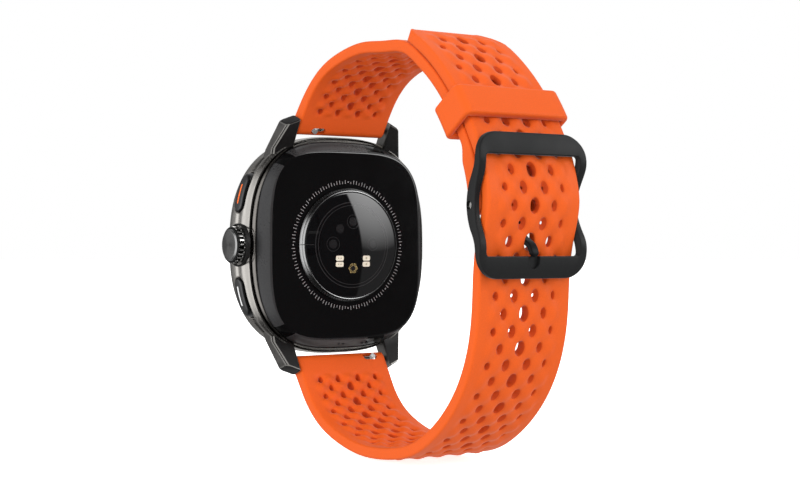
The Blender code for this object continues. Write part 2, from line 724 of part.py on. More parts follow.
def button(name, side_z, inlay_colour):
    """A side button: its cap and stem in one, the strip set in it, its seal and its switch."""
    half = BUTTON_WIDTH / 2
    pivot = (22.0, BUTTON_Y, side_z * BUTTON_STEM_Z)
    axis_point = (0, BUTTON_Y, side_z * BUTTON_STEM_Z)
    cap = prism([button_outline(0)], "Y", BUTTON_Y - half, BUTTON_Y + half)
    if side_z < 0:
        mirrored_z(cap)
    bevel(cap, 0.5)
    inlay_cut = inlay_strip(side_z, 0.05, 0.45)
    cut(cap, inlay_cut)
    join(cap, rod(0.7, PRESS_STEM_END, 21.6, axis_point, "X"))
    as_part(show(cap), name + "_cap", "case_metal", pivot)
    as_part(show(inlay_strip(side_z, 0.0, 0.4)), name + "_inlay", inlay_colour, pivot)
    seal = ring(1.3, 0.76, 18.3, 18.7, axis_point, "X", 24)
    as_part(show(seal), name + "_seal", "seal_rubber")
    low = side_z * BUTTON_STEM_Z - 2.0
    inner, outer = SWITCH_X
    switch = bevel(box((inner, BUTTON_Y - 1.6, low), (outer, BUTTON_Y + 1.6, low + 4.0)), 0.2)
    as_part(show(switch), name + "_switch", "black_plastic")


def inlay_strip(side_z, grow, depth):
    """The thin coloured line in a button's face, following its curve."""
    heights = np.linspace(INLAY_Z[0] - grow, INLAY_Z[1] + grow, 7)
    outside = [(flank_x(-0.5 if grow else -0.02, z), z) for z in heights]
    inside = [(flank_x(depth, z), z) for z in heights]
    half = INLAY_HALF + grow
    strip = prism([outside + inside[::-1]], "Y", BUTTON_Y - half, BUTTON_Y + half)
    return strip if side_z > 0 else mirrored_z(strip)


def spring_bar(name, side_z, knob_x):
    """A quick-release bar: a tube with one fixed tip, and a sliding pin with a thumb knob."""
    side = math.copysign(1, knob_x)
    centre = (0, BAR_Y, side_z * BAR_Z)
    profile = [(BAR_RADIUS, BAR_HALF), (BAR_RADIUS, -BAR_HALF), (BAR_TIP_RADIUS, -BAR_HALF)]
    profile += [(BAR_TIP_RADIUS, -BAR_TIP_X), (0, -BAR_TIP_X), (0, 1.5), (0.5, 1.5), (0.5, BAR_HALF)]
    tube = turned(profile, centre, "X", 20)
    pin = rod(0.42, 3.6, BAR_TIP_X, centre, "X", 16)
    if side < 0:
        for piece in (tube, pin):
            piece.data.transform(Matrix.Diagonal((-1, 1, 1, 1)))
            piece.data.flip_normals()
    # The knob points at the wrist, square to the strap's run.
    turn = Matrix.Rotation(math.radians(-KNOB_LEAN * side_z), 4, "X")
    neck = knob_post(knob_x, side_z, turn, KNOB_RADIUS / 2, 0.0, 1.2)
    head = knob_post(knob_x, side_z, turn, KNOB_RADIUS, 0.9, 1.75)
    join(pin, neck, head)
    ends = sorted((knob_x + side * 0.4, knob_x - side * (RELEASE_TRAVEL + 0.4)))
    slot = box((ends[0], 0, -0.4), (ends[1], 2.0, 0.4))
    home = row_point(0, 0, 0)
    slot.data.transform(Matrix.Translation(row_point(*centre)) @ turn @ Matrix.Translation(-home))
    cut(tube, slot)
    as_part(show(tube), name + "_spring_bar", "polished_steel")
    as_part(show(pin), name + "_release_pin", "polished_steel", (knob_x, BAR_Y, side_z * BAR_Z))


def knob_post(x, side_z, turn, radius, start, end):
    """A short post standing on a spring bar's axis, turned from the wrist's direction."""
    post = rod(radius, start, end, (0, 0, 0), "Y", 16)
    home = row_point(0, 0, 0)
    place = row_point(x, BAR_Y, side_z * BAR_Z)
    post.data.transform(Matrix.Translation(place) @ turn @ Matrix.Translation(-home))
    return post


def buckle_middle(offset):
    """How far the buckle frame's middle surface stands off, by the height above its bar."""
    heights = [0, 3, 6, 9, 11, 13]
    upper = [59.25, 59.6, 60.75, 62.15, 61.95, 61.4]
    lower = [59.25, 59.5, 60.4, 61.95, 61.85, 61.55]
    return np.interp(abs(offset), heights, upper if offset > 0 else lower)


def buckle_half_thickness(offset):
    return np.interp(abs(offset), [0, 4, 9, 13], [1.3, 1.15, 0.7, 0.65])


def buckle_outline():
    """The frame's outer edge in (x, z): round corners, and sides that draw in to the bar."""
    top = BUCKLE_CROSSBAR_Z[1]
    round_from = top - BUCKLE_CORNER_RADIUS
    side = []
    for offset in np.linspace(-round_from, round_from, 9):
        swell = (1 - math.cos(math.pi * abs(offset) / round_from)) / 2
        side.append((BUCKLE_WAIST_HALF + swell * (BUCKLE_CORNER_HALF - BUCKLE_WAIST_HALF), offset))
    corner = []
    for degrees in (22.5, 45, 67.5, 90):
        a = math.radians(degrees)
        in_x = BUCKLE_CORNER_RADIUS * (1 - math.cos(a))
        in_z = BUCKLE_CORNER_RADIUS * (1 - math.sin(a))
        corner.append((BUCKLE_CORNER_HALF - in_x, top - in_z))
    right = [(x, -z) for x, z in corner[::-1]] + side + corner
    left = [(-x, z) for x, z in right[::-1]]
    return [(x, z + BUCKLE_BAR[1]) for x, z in right + left]


def buckle_window():
    inner = BUCKLE_CROSSBAR_Z[0]
    half = BUCKLE_WINDOW_HALF
    heights = np.linspace(-inner, inner, 9)
    right = [(half, z) for z in heights]
    left = [(-half, z) for z in heights[::-1]]
    return [(x, z + BUCKLE_BAR[1]) for x, z in right + left]


def buckle_frame():
    """A flat frame cut by level planes, then bent and thinned by height."""
    frame = prism([buckle_outline(), buckle_window()], "Y", -1.0, 1.0)
    work = bmesh.new()
    work.from_mesh(frame.data)
    for offset in (-11, -7.2, -6, -4.5, -3, -1.5, 1.5, 3, 4.5, 6, 7.2, 11):
        place = row_point(0, 0, BUCKLE_BAR[1] + offset)
        every = work.verts[:] + work.edges[:] + work.faces[:]
        bmesh.ops.bisect_plane(work, geom=every, dist=1e-7, plane_co=place, plane_no=(0, 0, 1))
    for vertex in work.verts:
        offset = vertex.co.z / MM - BUCKLE_BAR[1]
        out = vertex.co.y / MM - REAR_FACE_Y
        y = buckle_middle(offset) + out * buckle_half_thickness(offset)
        vertex.co.y = (y + REAR_FACE_Y) * MM
    work.to_mesh(frame.data)
    work.free()
    y, z = BUCKLE_BAR
    cut(frame, rod(BUCKLE_BAR_RADIUS + 0.08, -15, 15, (0, y, z), "X", 20))
    cut(frame, box((-1.35, 61.7, -5.0), (1.35, 66, -1.0)))
    return as_part(show(frame), "buckle_frame", "buckle_metal", (0, y, z))


def buckle_tongue():
    """The tongue: an eye on the bar, under the long strap, up through a hole, onto the frame."""
    y, z = BUCKLE_BAR
    route = [(y - 0.35, z - 1.1), (58.6, 3.7), (58.95, 1.75), (60.2, 0.75)]
    route += [(61.7, -0.1), (62.55, -1.7), (62.65, -3.9)]
    middle = spline_through(route, 20)
    outward = normals(middle)
    half = TONGUE_THICKNESS / 2
    tip = half_circle(middle[-1] - outward[-1] * half, middle[-1] + outward[-1] * half, True, 4)
    outline = list(middle + outward * half)[::-1]
    outline = list(middle - outward * half) + tip + outline
    tongue = prism([outline], "X", -TONGUE_HALF, TONGUE_HALF)
    join(tongue, rod(1.45, -TONGUE_HALF, TONGUE_HALF, (0, y, z), "X", 24))
    cut(tongue, rod(BUCKLE_BAR_RADIUS + 0.1, -5, 5, (0, y, z), "X", 24))
    return as_part(show(tongue), "buckle_tongue", "buckle_metal", (0, y, z))


def buckle():
    buckle_frame()
    buckle_tongue()
    bar = rod(BUCKLE_BAR_RADIUS, -BUCKLE_BAR_HALF, BUCKLE_BAR_HALF, (0, *BUCKLE_BAR), "X", 20)
    as_part(show(bar), "buckle_bar", "buckle_metal")


def keeper_section(inner, outer, start, end, count):
    return closure_arc(inner, start, end, count) + closure_arc(outer, end, start, count)


def keeper_loop():
    """The loop that holds the tail down: a sleeve bent to the straps' own arc."""
    inside = SHORT_RADIUS - STRAP_THICKNESS - KEEPER_GAP
    outside = TAIL_RADIUS + KEEPER_GAP
    start, end = KEEPER_ANGLES
    section = keeper_section(inside - KEEPER_WALL, outside + KEEPER_WALL, start, end, 7)
    sleeve = prism([section], "X", -KEEPER_HALF, KEEPER_HALF)
    hollow_half = KEEPER_HALF - KEEPER_WALL
    hollow_section = keeper_section(inside, outside, start - 4, end + 4, 11)
    hollow = prism([hollow_section], "X", -hollow_half, hollow_half)
    bevel(sleeve, KEEPER_EDGE)
    cut(sleeve, hollow)
    return as_part(show(sleeve), "keeper_loop", "strap_silicone", (0, *CLOSURE_CENTRE))


def build_watch():
    midframe()
    case_shells()
    front_stack()
    sensor()
    inner_parts()
    crown()
    button("upper_button", 1, "inlay_orange")
    button("lower_button", -1, "inlay_white")
    spring_bar("upper", 1, UPPER_KNOB_X)
    spring_bar("lower", -1, LOWER_KNOB_X)
    upper_strap()
    lower_strap()
    buckle()
    keeper_loop()


build_watch()
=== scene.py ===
"""Looks of the GPS running watch: perforated silicone straps, gunmetal case, sensor window, buckle.

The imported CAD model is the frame. Lengths are in millimetres with y counted from the rear cover's
face, and place() turns them into metres in the row frame. +Z is 12 o'clock, +X the crown's side, and
the wrist lies towards +Y.
"""
import math

import bmesh
import bpy
import numpy as np
from mathutils import Matrix, Vector
from mathutils.geometry import delaunay_2d_cdt


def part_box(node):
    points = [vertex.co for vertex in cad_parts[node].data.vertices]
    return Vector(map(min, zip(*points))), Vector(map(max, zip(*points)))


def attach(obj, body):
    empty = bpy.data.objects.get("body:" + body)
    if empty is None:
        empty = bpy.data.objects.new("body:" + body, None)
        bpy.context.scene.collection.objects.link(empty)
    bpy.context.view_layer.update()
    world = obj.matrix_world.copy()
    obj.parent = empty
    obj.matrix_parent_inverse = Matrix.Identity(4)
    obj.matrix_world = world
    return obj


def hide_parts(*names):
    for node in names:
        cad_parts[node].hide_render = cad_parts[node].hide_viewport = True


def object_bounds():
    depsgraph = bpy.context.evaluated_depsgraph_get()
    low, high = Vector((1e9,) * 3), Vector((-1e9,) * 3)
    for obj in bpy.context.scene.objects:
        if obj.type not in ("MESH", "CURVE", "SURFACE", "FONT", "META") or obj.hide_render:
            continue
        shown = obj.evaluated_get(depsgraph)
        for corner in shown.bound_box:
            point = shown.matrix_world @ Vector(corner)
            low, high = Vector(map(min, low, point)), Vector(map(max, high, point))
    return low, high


MM = 0.001
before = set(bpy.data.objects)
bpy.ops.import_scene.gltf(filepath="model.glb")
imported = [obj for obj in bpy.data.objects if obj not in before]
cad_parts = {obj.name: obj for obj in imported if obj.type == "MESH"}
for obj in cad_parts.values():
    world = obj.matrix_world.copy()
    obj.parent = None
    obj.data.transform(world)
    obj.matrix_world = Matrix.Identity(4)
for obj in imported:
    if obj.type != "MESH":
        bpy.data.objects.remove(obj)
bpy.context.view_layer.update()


def cad(node):
    """A CAD node's box in millimetres: lowest corner, highest corner."""
    low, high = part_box(node)
    return np.array(low) / MM, np.array(high) / MM


REAR_FACE = cad("rear_cover")[1][1]

# Case outlines: half width, half height, exponent, y
CASE_SECTIONS = [
    (21.26, 22.66, 2.62, -4.6),
    (21.26, 22.66, 2.7, -3.95),
    (21.36, 22.72, 2.7, -3.72),
    (21.54, 22.79, 2.7, -3.64),
    (21.72, 22.86, 2.72, -3.72),
    (21.8, 22.9, 2.73, -3.88),
    (21.76, 22.9, 2.73, -4.02),
    (21.86, 22.92, 2.72, -4.16),
    (22.2, 23.03, 2.71, -4.5),
    (22.48, 23.1, 2.68, -4.9),
    (22.63, 23.14, 2.63, -5.35),
    (22.67, 23.16, 2.56, -5.9),
    (22.63, 23.14, 2.5, -6.45),
    (22.52, 23.1, 2.5, -6.75),
    (22.32, 23.03, 2.5, -6.92),
    (22.3, 23.01, 2.5, -7.08),
    (22.5, 23.08, 2.5, -7.25),
    (22.7, 23.16, 2.5, -7.5),
    (22.8, 23.19, 2.5, -7.95),
    (22.82, 23.19, 2.5, -8.6),
    (22.8, 23.17, 2.5, -9.4),
    (22.7, 23.14, 2.5, -10),
    (22.48, 23.06, 2.5, -10.7),
    (22.2, 22.95, 2.5, -11.15),
    (22, 22.88, 2.5, -11.28),
    (20.3, 21.7, 3, -11.28),
    (19.9, 21.3, 3, -10.9),
    (19.9, 21.3, 3, -4.6),
]
RIM_SECTIONS = [
    (21.14, 22.54, 2.7, -4.3),
    (21.14, 22.54, 2.7, -3.78),
    (21.06, 22.47, 2.72, -3.55),
    (20.8, 22.23, 2.8, -3.16),
    (20.58, 22.02, 2.86, -2.88),
    (20.48, 21.92, 2.9, -2.84),
    (20.4, 21.85, 2.9, -2.95),
    (20.4, 21.85, 2.9, -4.3),
]
BEVEL_SECTIONS = [
    (20.34, 21.8, 2.92, -4.2),
    (20.34, 21.8, 2.92, -2.95),
    (20.26, 21.72, 2.95, -2.68),
    (20.14, 21.6, 3, -2.4),
    (19.55, 20.88, 3.3, -1.34),
    (18.8, 20.18, 3.58, -0.26),
    (18.67, 20.07, 3.62, -0.12),
    (18.47, 19.88, 3.68, -0.03),
    (18.3, 19.73, 3.7, -0.02),
    (18.3, 19.73, 3.7, -1.3),
    (19.45, 20.7, 3.2, -4.2),
]
FRONT_SECTIONS = [
    (20.3, 21.42, 2.5, -11.6),
    (21.8, 22.48, 2.5, -11.6),
    (21.98, 22.62, 2.5, -11.7),
    (21.96, 22.59, 2.48, -11.95),
    (21.75, 22.36, 2.43, -12.22),
    (21.55, 22.09, 2.38, -12.34),
    (20.75, 20.84, 2.14, -12.96),
    (20.3, 20.32, 2.02, -13.2),
    (20.08, 20.07, 2, -13.28),
    (19.25, 19.25, 2, -13.24),
    (19.06, 19.06, 2, -13.1),
    (19, 19, 2, -12.9),
    (19, 19, 2, -12.15),
    (17.9, 17.9, 2, -12.15),
    (17.9, 17.9, 2, -11.6),
]
FLANK_EXPONENT = 2.5
REAR_GASKET_SECTIONS = [
    (21.05, 22.45, 2.7, -4.57),
    (21.05, 22.45, 2.7, -4.4),
    (20.5, 21.9, 2.8, -4.4),
    (20.5, 21.9, 2.8, -4.57),
]
BEZEL_GASKET_SECTIONS = [
    (21.6, 22.4, 2.5, -11.52),
    (21.6, 22.4, 2.5, -11.37),
    (20.6, 21.5, 2.6, -11.37),
    (20.6, 21.5, 2.6, -11.52),
]
OUTLINE_COUNT = 256
PLATE_HALF = (18.3, 19.68)
PLATE_EXPONENT = 3.9
# The painted dark reflections on the rear bevel's corners, in degrees from the X axis, on the crown's side
# and the far side
REFLECTION_PATCH_TURN = {1: (47.0, 55.5), -1: (65.0, 76.0)}

# Sensor window
DOME_RADIUS = 11.15
DOME_HEIGHT = 2.2
DOME_EDGE = 1.35
CONTACT_CENTRE = (0, -4.9)
CONTACT_LOBES = 6

# Crown and buttons
CROWN_Y = -6.4
CROWN_X = (23.0, 24.7)
CROWN_RADIUS = 3.85
CROWN_SLOTS = 24
SLOT_CORE = (0.06, 0.34)      # half sizes, across and along, of the core that a slot rounds
SLOT_ROUND = 0.26
SLOT_SLOPE = 0.1
SLOT_SINK = 0.27
SLOT_SHADE_RADII = (3.68, 3.8)     # where the rim's colour turns from the slots' painted shade to the ridges'
BUTTON_Y = -7.0
BUTTON_HALF = 1.7
BUTTON_Z = (6.9, 15.0)
BUTTON_FACE = (23.22, 24.0, 2.65)
INLAY_Z = (8.6, 12.7)

# Straps, as in the CAD part: outer faces in (y, z) from the lug to the free end
STRAP_HALF_LUG = 10.8
STRAP_HALF_BUCKLE = 10.4
STRAP_TAPER_Y = (0.0, 45.0)
STRAP_THICKNESS = 2.3
STRAP_LUG_THICKNESS = 3.3
STRAP_LOOP_THICKNESS = 3.5
STRAP_LOOP_RUN = (12.5, 4.0)
LUG_RUN = 16.0                # how far from the lug the strap is thicker
CLOSURE_CENTRE = (14.85, -3.75)
TAIL_RADIUS = 50.0
SHORT_RADIUS = 47.5
BUCKLE_BAR = (58.9, 7.0)
RELEASE_SLOT = (1.75, 0.78)
SLOT_FLOOR = 0.9
KNOB_X = {1: 6.6, -1: -7.9}

# Strap surfaces and perforations
SIDE_ROUND = 0.5
LUG_NOSE = STRAP_LUG_THICKNESS / 2
TIP_ROUND = 0.12
TIP_CORNERS = {1: 1.6, -1: 6.0}   # the tail's corners on the crown's side and the far side
HOLE_ROUND = 0.15
HOLE_WAIST = 0.75             # how much narrower a middle hole is halfway through
SIDE_HOLE_WAIST = 0.25
OUTER_RELIEF = 0.34           # how far the bumps rise and the hollows round the holes sink
INNER_RELIEF = 0.46
RELIEF_PERIOD_X = 4.85
MESH_STEP = 0.5
FIRST_ROW = 4.8               # the first row of holes, along the strap from the lug
LUG_PITCH = 1.72
PITCH_GROWTH = 0.05
LONG_PITCH = 3.2
TAIL_PITCH = 3.33
# Rows of holes in turn, in the strap's own width at the lug: x, half width, half length
WIDE_ROW = [(-4.7, 0.7, 1.05), (0.0, 1.1, 1.5), (4.7, 0.7, 1.05)]
NARROW_ROW = [(-6.75, 0.53, 0.8), (-2.48, 0.88, 1.22), (2.48, 0.88, 1.22), (6.75, 0.53, 0.8)]
TONGUE_HOLE = (1.2, 1.65)
TONGUE_HOLE_Z = 0.55
NOTCH_HALF = 1.49             # the notch for the tongue at the buckle end
NOTCH_DEPTH = 2.4
SLOT_SHIFT = 0.8              # from a release knob to the middle of its slot
SLOT_S = 0.05

# Lugs: the sections at the root, halfway and at the tip, by their corners on the inner front, inner
# rear, outer rear and outer front
LUG_STATIONS = [
    ((11.1, -8.9, 17.0), (11.1, -4.4, 17.0), (16.4, -4.4, 16.6), (16.4, -8.9, 16.6)),
    ((11.1, -7.0, 21.4), (11.1, -3.4, 21.0), (16.0, -4.0, 20.2), (16.0, -7.4, 20.0)),
    ((11.1, -3.4, 27.4), (11.1, -0.5, 26.2), (14.0, -1.15, 25.0), (14.0, -4.7, 26.2)),
]
LUG_STEPS = [0, 0.25, 0.5, 0.75, 1.0, 1.25, 1.5, 1.75, 1.93, 1.97, 2.0]
LUG_SHRINK = {1.97: 0.1, 2.0: 0.45}   # the rounded tip
# Which material each strip round a lug's section has: 1 is painted shade and 2 is a painted highlight
LUG_SHADE_AND_HIGHLIGHT = {5: 1, 6: 2, 7: 1, 8: 1, 9: 1, 10: 2}

# Ports, crown well and the rear's printed scale
PORT_X = (-25.0, -22.3)
PORT_Y = (-5.75, -4.75)
PORT_Z = ((0.75, 3.85), (-3.95, -0.85))
POCKET_GAP = 0.25
WELL_RADIUS = 4.2
WELL_FLOOR = 22.42
DIMPLE_X = (1.45, 0.3, -4.4, -5.55)
DIMPLE_Y = -1.45
DIMPLE_Z = -21.05
SCALE_RADII = (12.95, 13.75)
SCALE_DOTS = (13.2, 13.5)

# Buckle: halves of the frame and its window, and how its middle surface waves with the distance
# from the bar
BUCKLE_CORNER_HALF = 12.25
BUCKLE_WAIST_HALF = 11.75
BUCKLE_WINDOW_HALF = 10.6
BUCKLE_CROSSBAR = (9.0, 13.0)
CORNER_ROUND = 4.6
WINDOW_ROUND = 0.7
BUCKLE_EDGE = 0.28
BUCKLE_OFFSETS = [0, 2, 3.9, 5.8, 7.2, 9, 11, 13]
BUCKLE_UPPER_MIDDLE = [59.25, 59.5, 60.2, 61.25, 61.85, 61.92, 61.5, 60.85]
BUCKLE_LOWER_MIDDLE = [59.25, 59.55, 60.3, 61.5, 61.95, 61.95, 61.85, 61.55]
BUCKLE_HALF_THICKNESS = ([0, 4, 9, 13], [1.3, 1.15, 0.7, 0.65])
BAR_HOLE_RADIUS = 0.78
TONGUE_SEAT_RADIUS = 1.35
TONGUE_SEAT_Y = (61.85, 66.0)
TONGUE_HALF_WIDTH = 0.86
TONGUE_HALF_THICKNESS = 0.5
TONGUE_TIP_ROUND = 0.75

# Keeper: from and to, in degrees round the closure's centre, at the wrist and at the outer face
KEEPER_INNER = (31.3, 40.1)
KEEPER_OUTER = (31.7, 38.9)
KEEPER_X = (-11.6, 12.1)
KEEPER_WALL = 1.55
KEEPER_SIDE_WALL = 1.15
KEEPER_GAP = 0.3
KEEPER_EDGE = 0.5
KEEPER_INNER_EDGE = 0.3

# Display: levels in y of its back, its flat marks, and its numerals' circle and height
DIAL_BACK = -12.16
DIAL_FLAT = -12.2
NUMERAL_RADIUS = 14.9
NUMERAL_SIZE = 4.2

# Patches of the studio that glossy surfaces mirror: azimuth, elevation, radius, soft edge, brightness
STUDIO_PATCHES = [
    (75, 0, 42, 18, 1.9),
    (70, 78, 34, 10, 0.05),
    (70, -78, 34, 10, 0.05),
    (20, 0, 24, 16, 0.45),
    (300, 45, 40, 15, 0.85),
    (300, -45, 40, 15, 0.75),
    (350, 0, 26, 12, 0.2),
    (222, 22, 17, 14, 5.5),
    (222, 24, 9, 8, 7.0),
    (168.6, -5, 47.3, 0.6, 0.045),
]
STUDIO_MIRRORED = 0.3         # the studio's brightness outside the patches
STUDIO_DIFFUSE = 0.92         # its brightness for the soft light on matt surfaces
STUDIO_SEEN = 1.0
# Soft lights: name, azimuth, elevation, distance and size in metres, power
LIGHTS = [
    ("key", 100, 15, 1.0, 0.35, 4.2),
    ("fill", 165, 10, 1.2, 0.5, 2.2),
    ("front", 330, 35, 1.2, 0.9, 4.0),
]
FLOOR_RADIUS = 4.0
FLOOR_GAP = 0.0002
FLOOR_GLOW = 0.8
CAMERA_AT = (0.16915, 0.24197, 0.0)
CAMERA_AWAY = (0.557, 0.8305, 0.0)
CAMERA_LENS = 67.97
CAMERA_SHIFT = -0.00625

WHITE = (1.0, 1.0, 1.0, 1.0)


def place(points):
    """Points in millimetres, y from the rear cover's face, as metres in the row frame."""
    points = np.asarray(points, float)
    return (points + np.array([0.0, REAR_FACE, 0.0])) * MM


# ---------------------------------------------------------------- mesh helpers

def grid_faces(rows, columns, wrap_rows=False, wrap_columns=True, start=0):
    """Quads over a grid of points, row by row."""
    faces = []
    for i in range(rows if wrap_rows else rows - 1):
        for j in range(columns if wrap_columns else columns - 1):
            a = start + i * columns + j
            b = start + i * columns + (j + 1) % columns
            c = start + (i + 1) % rows * columns + (j + 1) % columns
            d = start + (i + 1) % rows * columns + j
            faces.append((a, b, c, d))
    return faces


def make_mesh(name, shells, angle=35.0, weld=1e-7):
    """One welded, smooth mesh from shells of points in millimetres, faces, and each face's slot."""
    mesh = bpy.data.meshes.new(name)
    vertices = []
    faces = []
    paint = []
    for points, shell_faces, *shell_paint in shells:
        start = len(vertices)
        vertices += place(points).tolist()
        faces += [tuple(start + i for i in face) for face in shell_faces]
        paint += shell_paint[0] if shell_paint else [0] * len(shell_faces)
    mesh.from_pydata(vertices, [], faces)
    mesh.polygons.foreach_set("material_index", paint)
    tidy_mesh(mesh, angle, weld)
    return mesh


def tidy_mesh(mesh, angle=35.0, weld=1e-7):
    """Welds a mesh, turns its faces outwards and smooths all but its sharp edges."""
    work = bmesh.new()
    work.from_mesh(mesh)
    bmesh.ops.remove_doubles(work, verts=work.verts, dist=weld)
    bmesh.ops.dissolve_degenerate(work, dist=weld, edges=work.edges)
    loose = [vertex for vertex in work.verts if not vertex.link_faces]
    bmesh.ops.delete(work, geom=loose, context="VERTS")
    bmesh.ops.recalc_face_normals(work, faces=work.faces)
    work.to_mesh(mesh)
    work.free()
    mesh.shade_smooth()
    mesh.set_sharp_from_angle(angle=math.radians(angle))


def add_piece(name, mesh, material, body, replaced=()):
    """Puts a mesh in the scene as a piece that rides on a body."""
    obj = bpy.data.objects.new(name, mesh)
    bpy.context.scene.collection.objects.link(obj)
    for each in material if isinstance(material, list) else [material]:
        mesh.materials.append(each)
    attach(obj, body)
    if replaced:
        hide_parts(*replaced)
    return obj


def temporary(mesh):
    """An object for a boolean cut, which cut_mesh removes again."""
    obj = bpy.data.objects.new("cutter", mesh)
    bpy.context.scene.collection.objects.link(obj)
    return obj


def cut_mesh(mesh, cutters, angle=35.0):
    """The mesh with closed cutter meshes taken away from it."""
    obj = temporary(mesh)
    tools = [temporary(cutter) for cutter in cutters]
    for tool in tools:
        modifier = obj.modifiers.new("cut", "BOOLEAN")
        modifier.operation = "DIFFERENCE"
        modifier.solver = "EXACT"
        modifier.object = tool
    bpy.context.view_layer.update()
    graph = bpy.context.evaluated_depsgraph_get()
    result = bpy.data.meshes.new_from_object(obj.evaluated_get(graph))
    for used in [obj, *tools]:
        bpy.data.objects.remove(used, do_unlink=True)
    tidy_mesh(result, angle, 2e-6)
    return result


def superellipse(half_x, half_z, exponent):
    """An outline in (x, z) between an ellipse (exponent 2) and a rectangle."""
    angles = np.linspace(0, 2 * math.pi, OUTLINE_COUNT, endpoint=False)
    c = np.cos(angles)
    s = np.sin(angles)
    reach = (np.abs(c / half_x) ** exponent + np.abs(s / half_z) ** exponent) ** (-1 / exponent)
    return np.column_stack([reach * c, reach * s])


def cushion(sections):
    """A closed ring through cushion outlines, from the first section round to the first."""
    rows = []
    for half_x, half_z, exponent, y in sections:
        outline = superellipse(half_x, half_z, exponent)
        rows.append(np.column_stack([outline[:, 0], np.full(len(outline), y), outline[:, 1]]))
    return np.concatenate(rows), grid_faces(len(rows), OUTLINE_COUNT, wrap_rows=True)


def capped(rows):
    """A closed skin over equal rings of points, with an n-gon over each end."""
    count = len(rows[0])
    faces = grid_faces(len(rows), count)
    faces.append(tuple(range(count)))
    faces.append(tuple((len(rows) - 1) * count + i for i in range(count)))
    return np.concatenate(rows), faces


def turned(profile, axis, centre, steps=96):
    """A closed profile of (radius, distance along the axis) turned about X or Y through centre."""
    angles = np.linspace(0, 2 * math.pi, steps, endpoint=False)
    rows = []
    for radius, along in profile:
        u = radius * np.cos(angles)
        v = radius * np.sin(angles)
        w = np.full(steps, float(along))
        rows.append(np.column_stack([w, u, v] if axis == "X" else [u, w, v]) + np.array(centre))
    return np.concatenate(rows), grid_faces(len(rows), steps, wrap_rows=True)


def tube(path, radius, sides=10, closed=True):
    """A round tube along a path of points."""
    path = np.asarray(path, float)
    if closed:
        along = np.roll(path, -1, axis=0) - np.roll(path, 1, axis=0)
    else:
        along = np.gradient(path, axis=0)
    along /= np.linalg.norm(along, axis=1)[:, None]
    side = np.cross(along, [1.0, 0.02, 0.03])
    side /= np.linalg.norm(side, axis=1)[:, None]
    up = np.cross(side, along)
    rows = []
    for angle in np.linspace(0, 2 * math.pi, sides, endpoint=False):
        rows.append(path + radius * (side * math.cos(angle) + up * math.sin(angle)))
    points = np.stack(rows, axis=1).reshape(-1, 3)
    faces = grid_faces(len(path), sides, wrap_rows=closed)
    if not closed:
        faces.append(tuple(range(sides)))
        faces.append(tuple((len(path) - 1) * sides + i for i in range(sides)))
    return points, faces


def spline_through(points, count):
    """Points at even steps of chord length on the natural cubic through the given points."""
    knots = np.array(points, dtype=float)
    chords = np.linalg.norm(np.diff(knots, axis=0), axis=1)
    at = np.concatenate([[0.0], np.cumsum(chords)])
    size = len(knots)
    system = np.eye(size)
    wanted = np.zeros_like(knots)
    for i in range(1, size - 1):
        before = chords[i - 1]
        after = chords[i]
        system[i, i - 1:i + 2] = (before, 2 * (before + after), after)
        wanted[i] = 6 * ((knots[i + 1] - knots[i]) / after - (knots[i] - knots[i - 1]) / before)
    bend = np.linalg.solve(system, wanted)
    result = []
    for s in np.linspace(0, at[-1], count):
        i = min(int(np.searchsorted(at, s, side="right")) - 1, size - 2)
        width = chords[i]
        left = at[i + 1] - s
        right = s - at[i]
        point = (bend[i] * left ** 3 + bend[i + 1] * right ** 3) / (6 * width)
        point = point + (knots[i] / width - bend[i] * width / 6) * left
        point = point + (knots[i + 1] / width - bend[i + 1] * width / 6) * right
        result.append(point)
    return np.array(result)


def normals(line):
    """Unit normals of a flat line, to the left of its direction."""
    along = np.gradient(line, axis=0)
    along /= np.linalg.norm(along, axis=1)[:, None]
    return np.stack([-along[:, 1], along[:, 0]], axis=1)


def round_drop(distance, radius):
    """How far a rounded edge has dropped at a distance from the face's end."""
    inside = np.clip(radius - distance, 0, radius)
    return radius - np.sqrt(radius ** 2 - inside ** 2)


# ---------------------------------------------------------------- materials

def procedural(name, colour, roughness, metallic=0.0, grain=3000, bump=0.1, spread=0.06,
               rough_spread=0.06, stretch=(1, 1, 1), smudge=0.05, specular=0.5):
    """A Principled material with fine grain and slow smudges."""
    material = bpy.data.materials.new(name)
    material.use_nodes = True
    tree = material.node_tree
    shader = tree.nodes["Principled BSDF"]
    shader.inputs["Metallic"].default_value = metallic
    shader.inputs["Specular IOR Level"].default_value = specular
    coordinates = tree.nodes.new("ShaderNodeTexCoord")
    mapping = tree.nodes.new("ShaderNodeMapping")
    mapping.inputs["Scale"].default_value = stretch
    tree.links.new(coordinates.outputs["Object"], mapping.inputs["Vector"])
    fine = noise(tree, mapping.outputs["Vector"], grain, 3)
    slow = noise(tree, coordinates.outputs["Object"], 140, 2)
    low = [c * (1 - spread) for c in colour]
    high = [min(c * (1 + spread), 1) for c in colour]
    tint = mix_colour(tree, fine, low, high)
    tree.links.new(tint, shader.inputs["Base Color"])
    total = tree.nodes.new("ShaderNodeMath")
    total.operation = "ADD"
    tree.links.new(remap(tree, fine, -rough_spread, rough_spread), total.inputs[0])
    tree.links.new(remap(tree, slow, roughness - smudge, roughness + smudge), total.inputs[1])
    total.use_clamp = True
    tree.links.new(total.outputs[0], shader.inputs["Roughness"])
    if bump:
        relief = tree.nodes.new("ShaderNodeBump")
        relief.inputs["Strength"].default_value = bump
        relief.inputs["Distance"].default_value = 0.00005
        tree.links.new(fine, relief.inputs["Height"])
        tree.links.new(relief.outputs["Normal"], shader.inputs["Normal"])
    return material


def noise(tree, vector, scale, detail):
    """A noise texture's value along a vector."""
    node = tree.nodes.new("ShaderNodeTexNoise")
    node.inputs["Scale"].default_value = scale
    node.inputs["Detail"].default_value = detail
    tree.links.new(vector, node.inputs["Vector"])
    return node.outputs["Fac"]


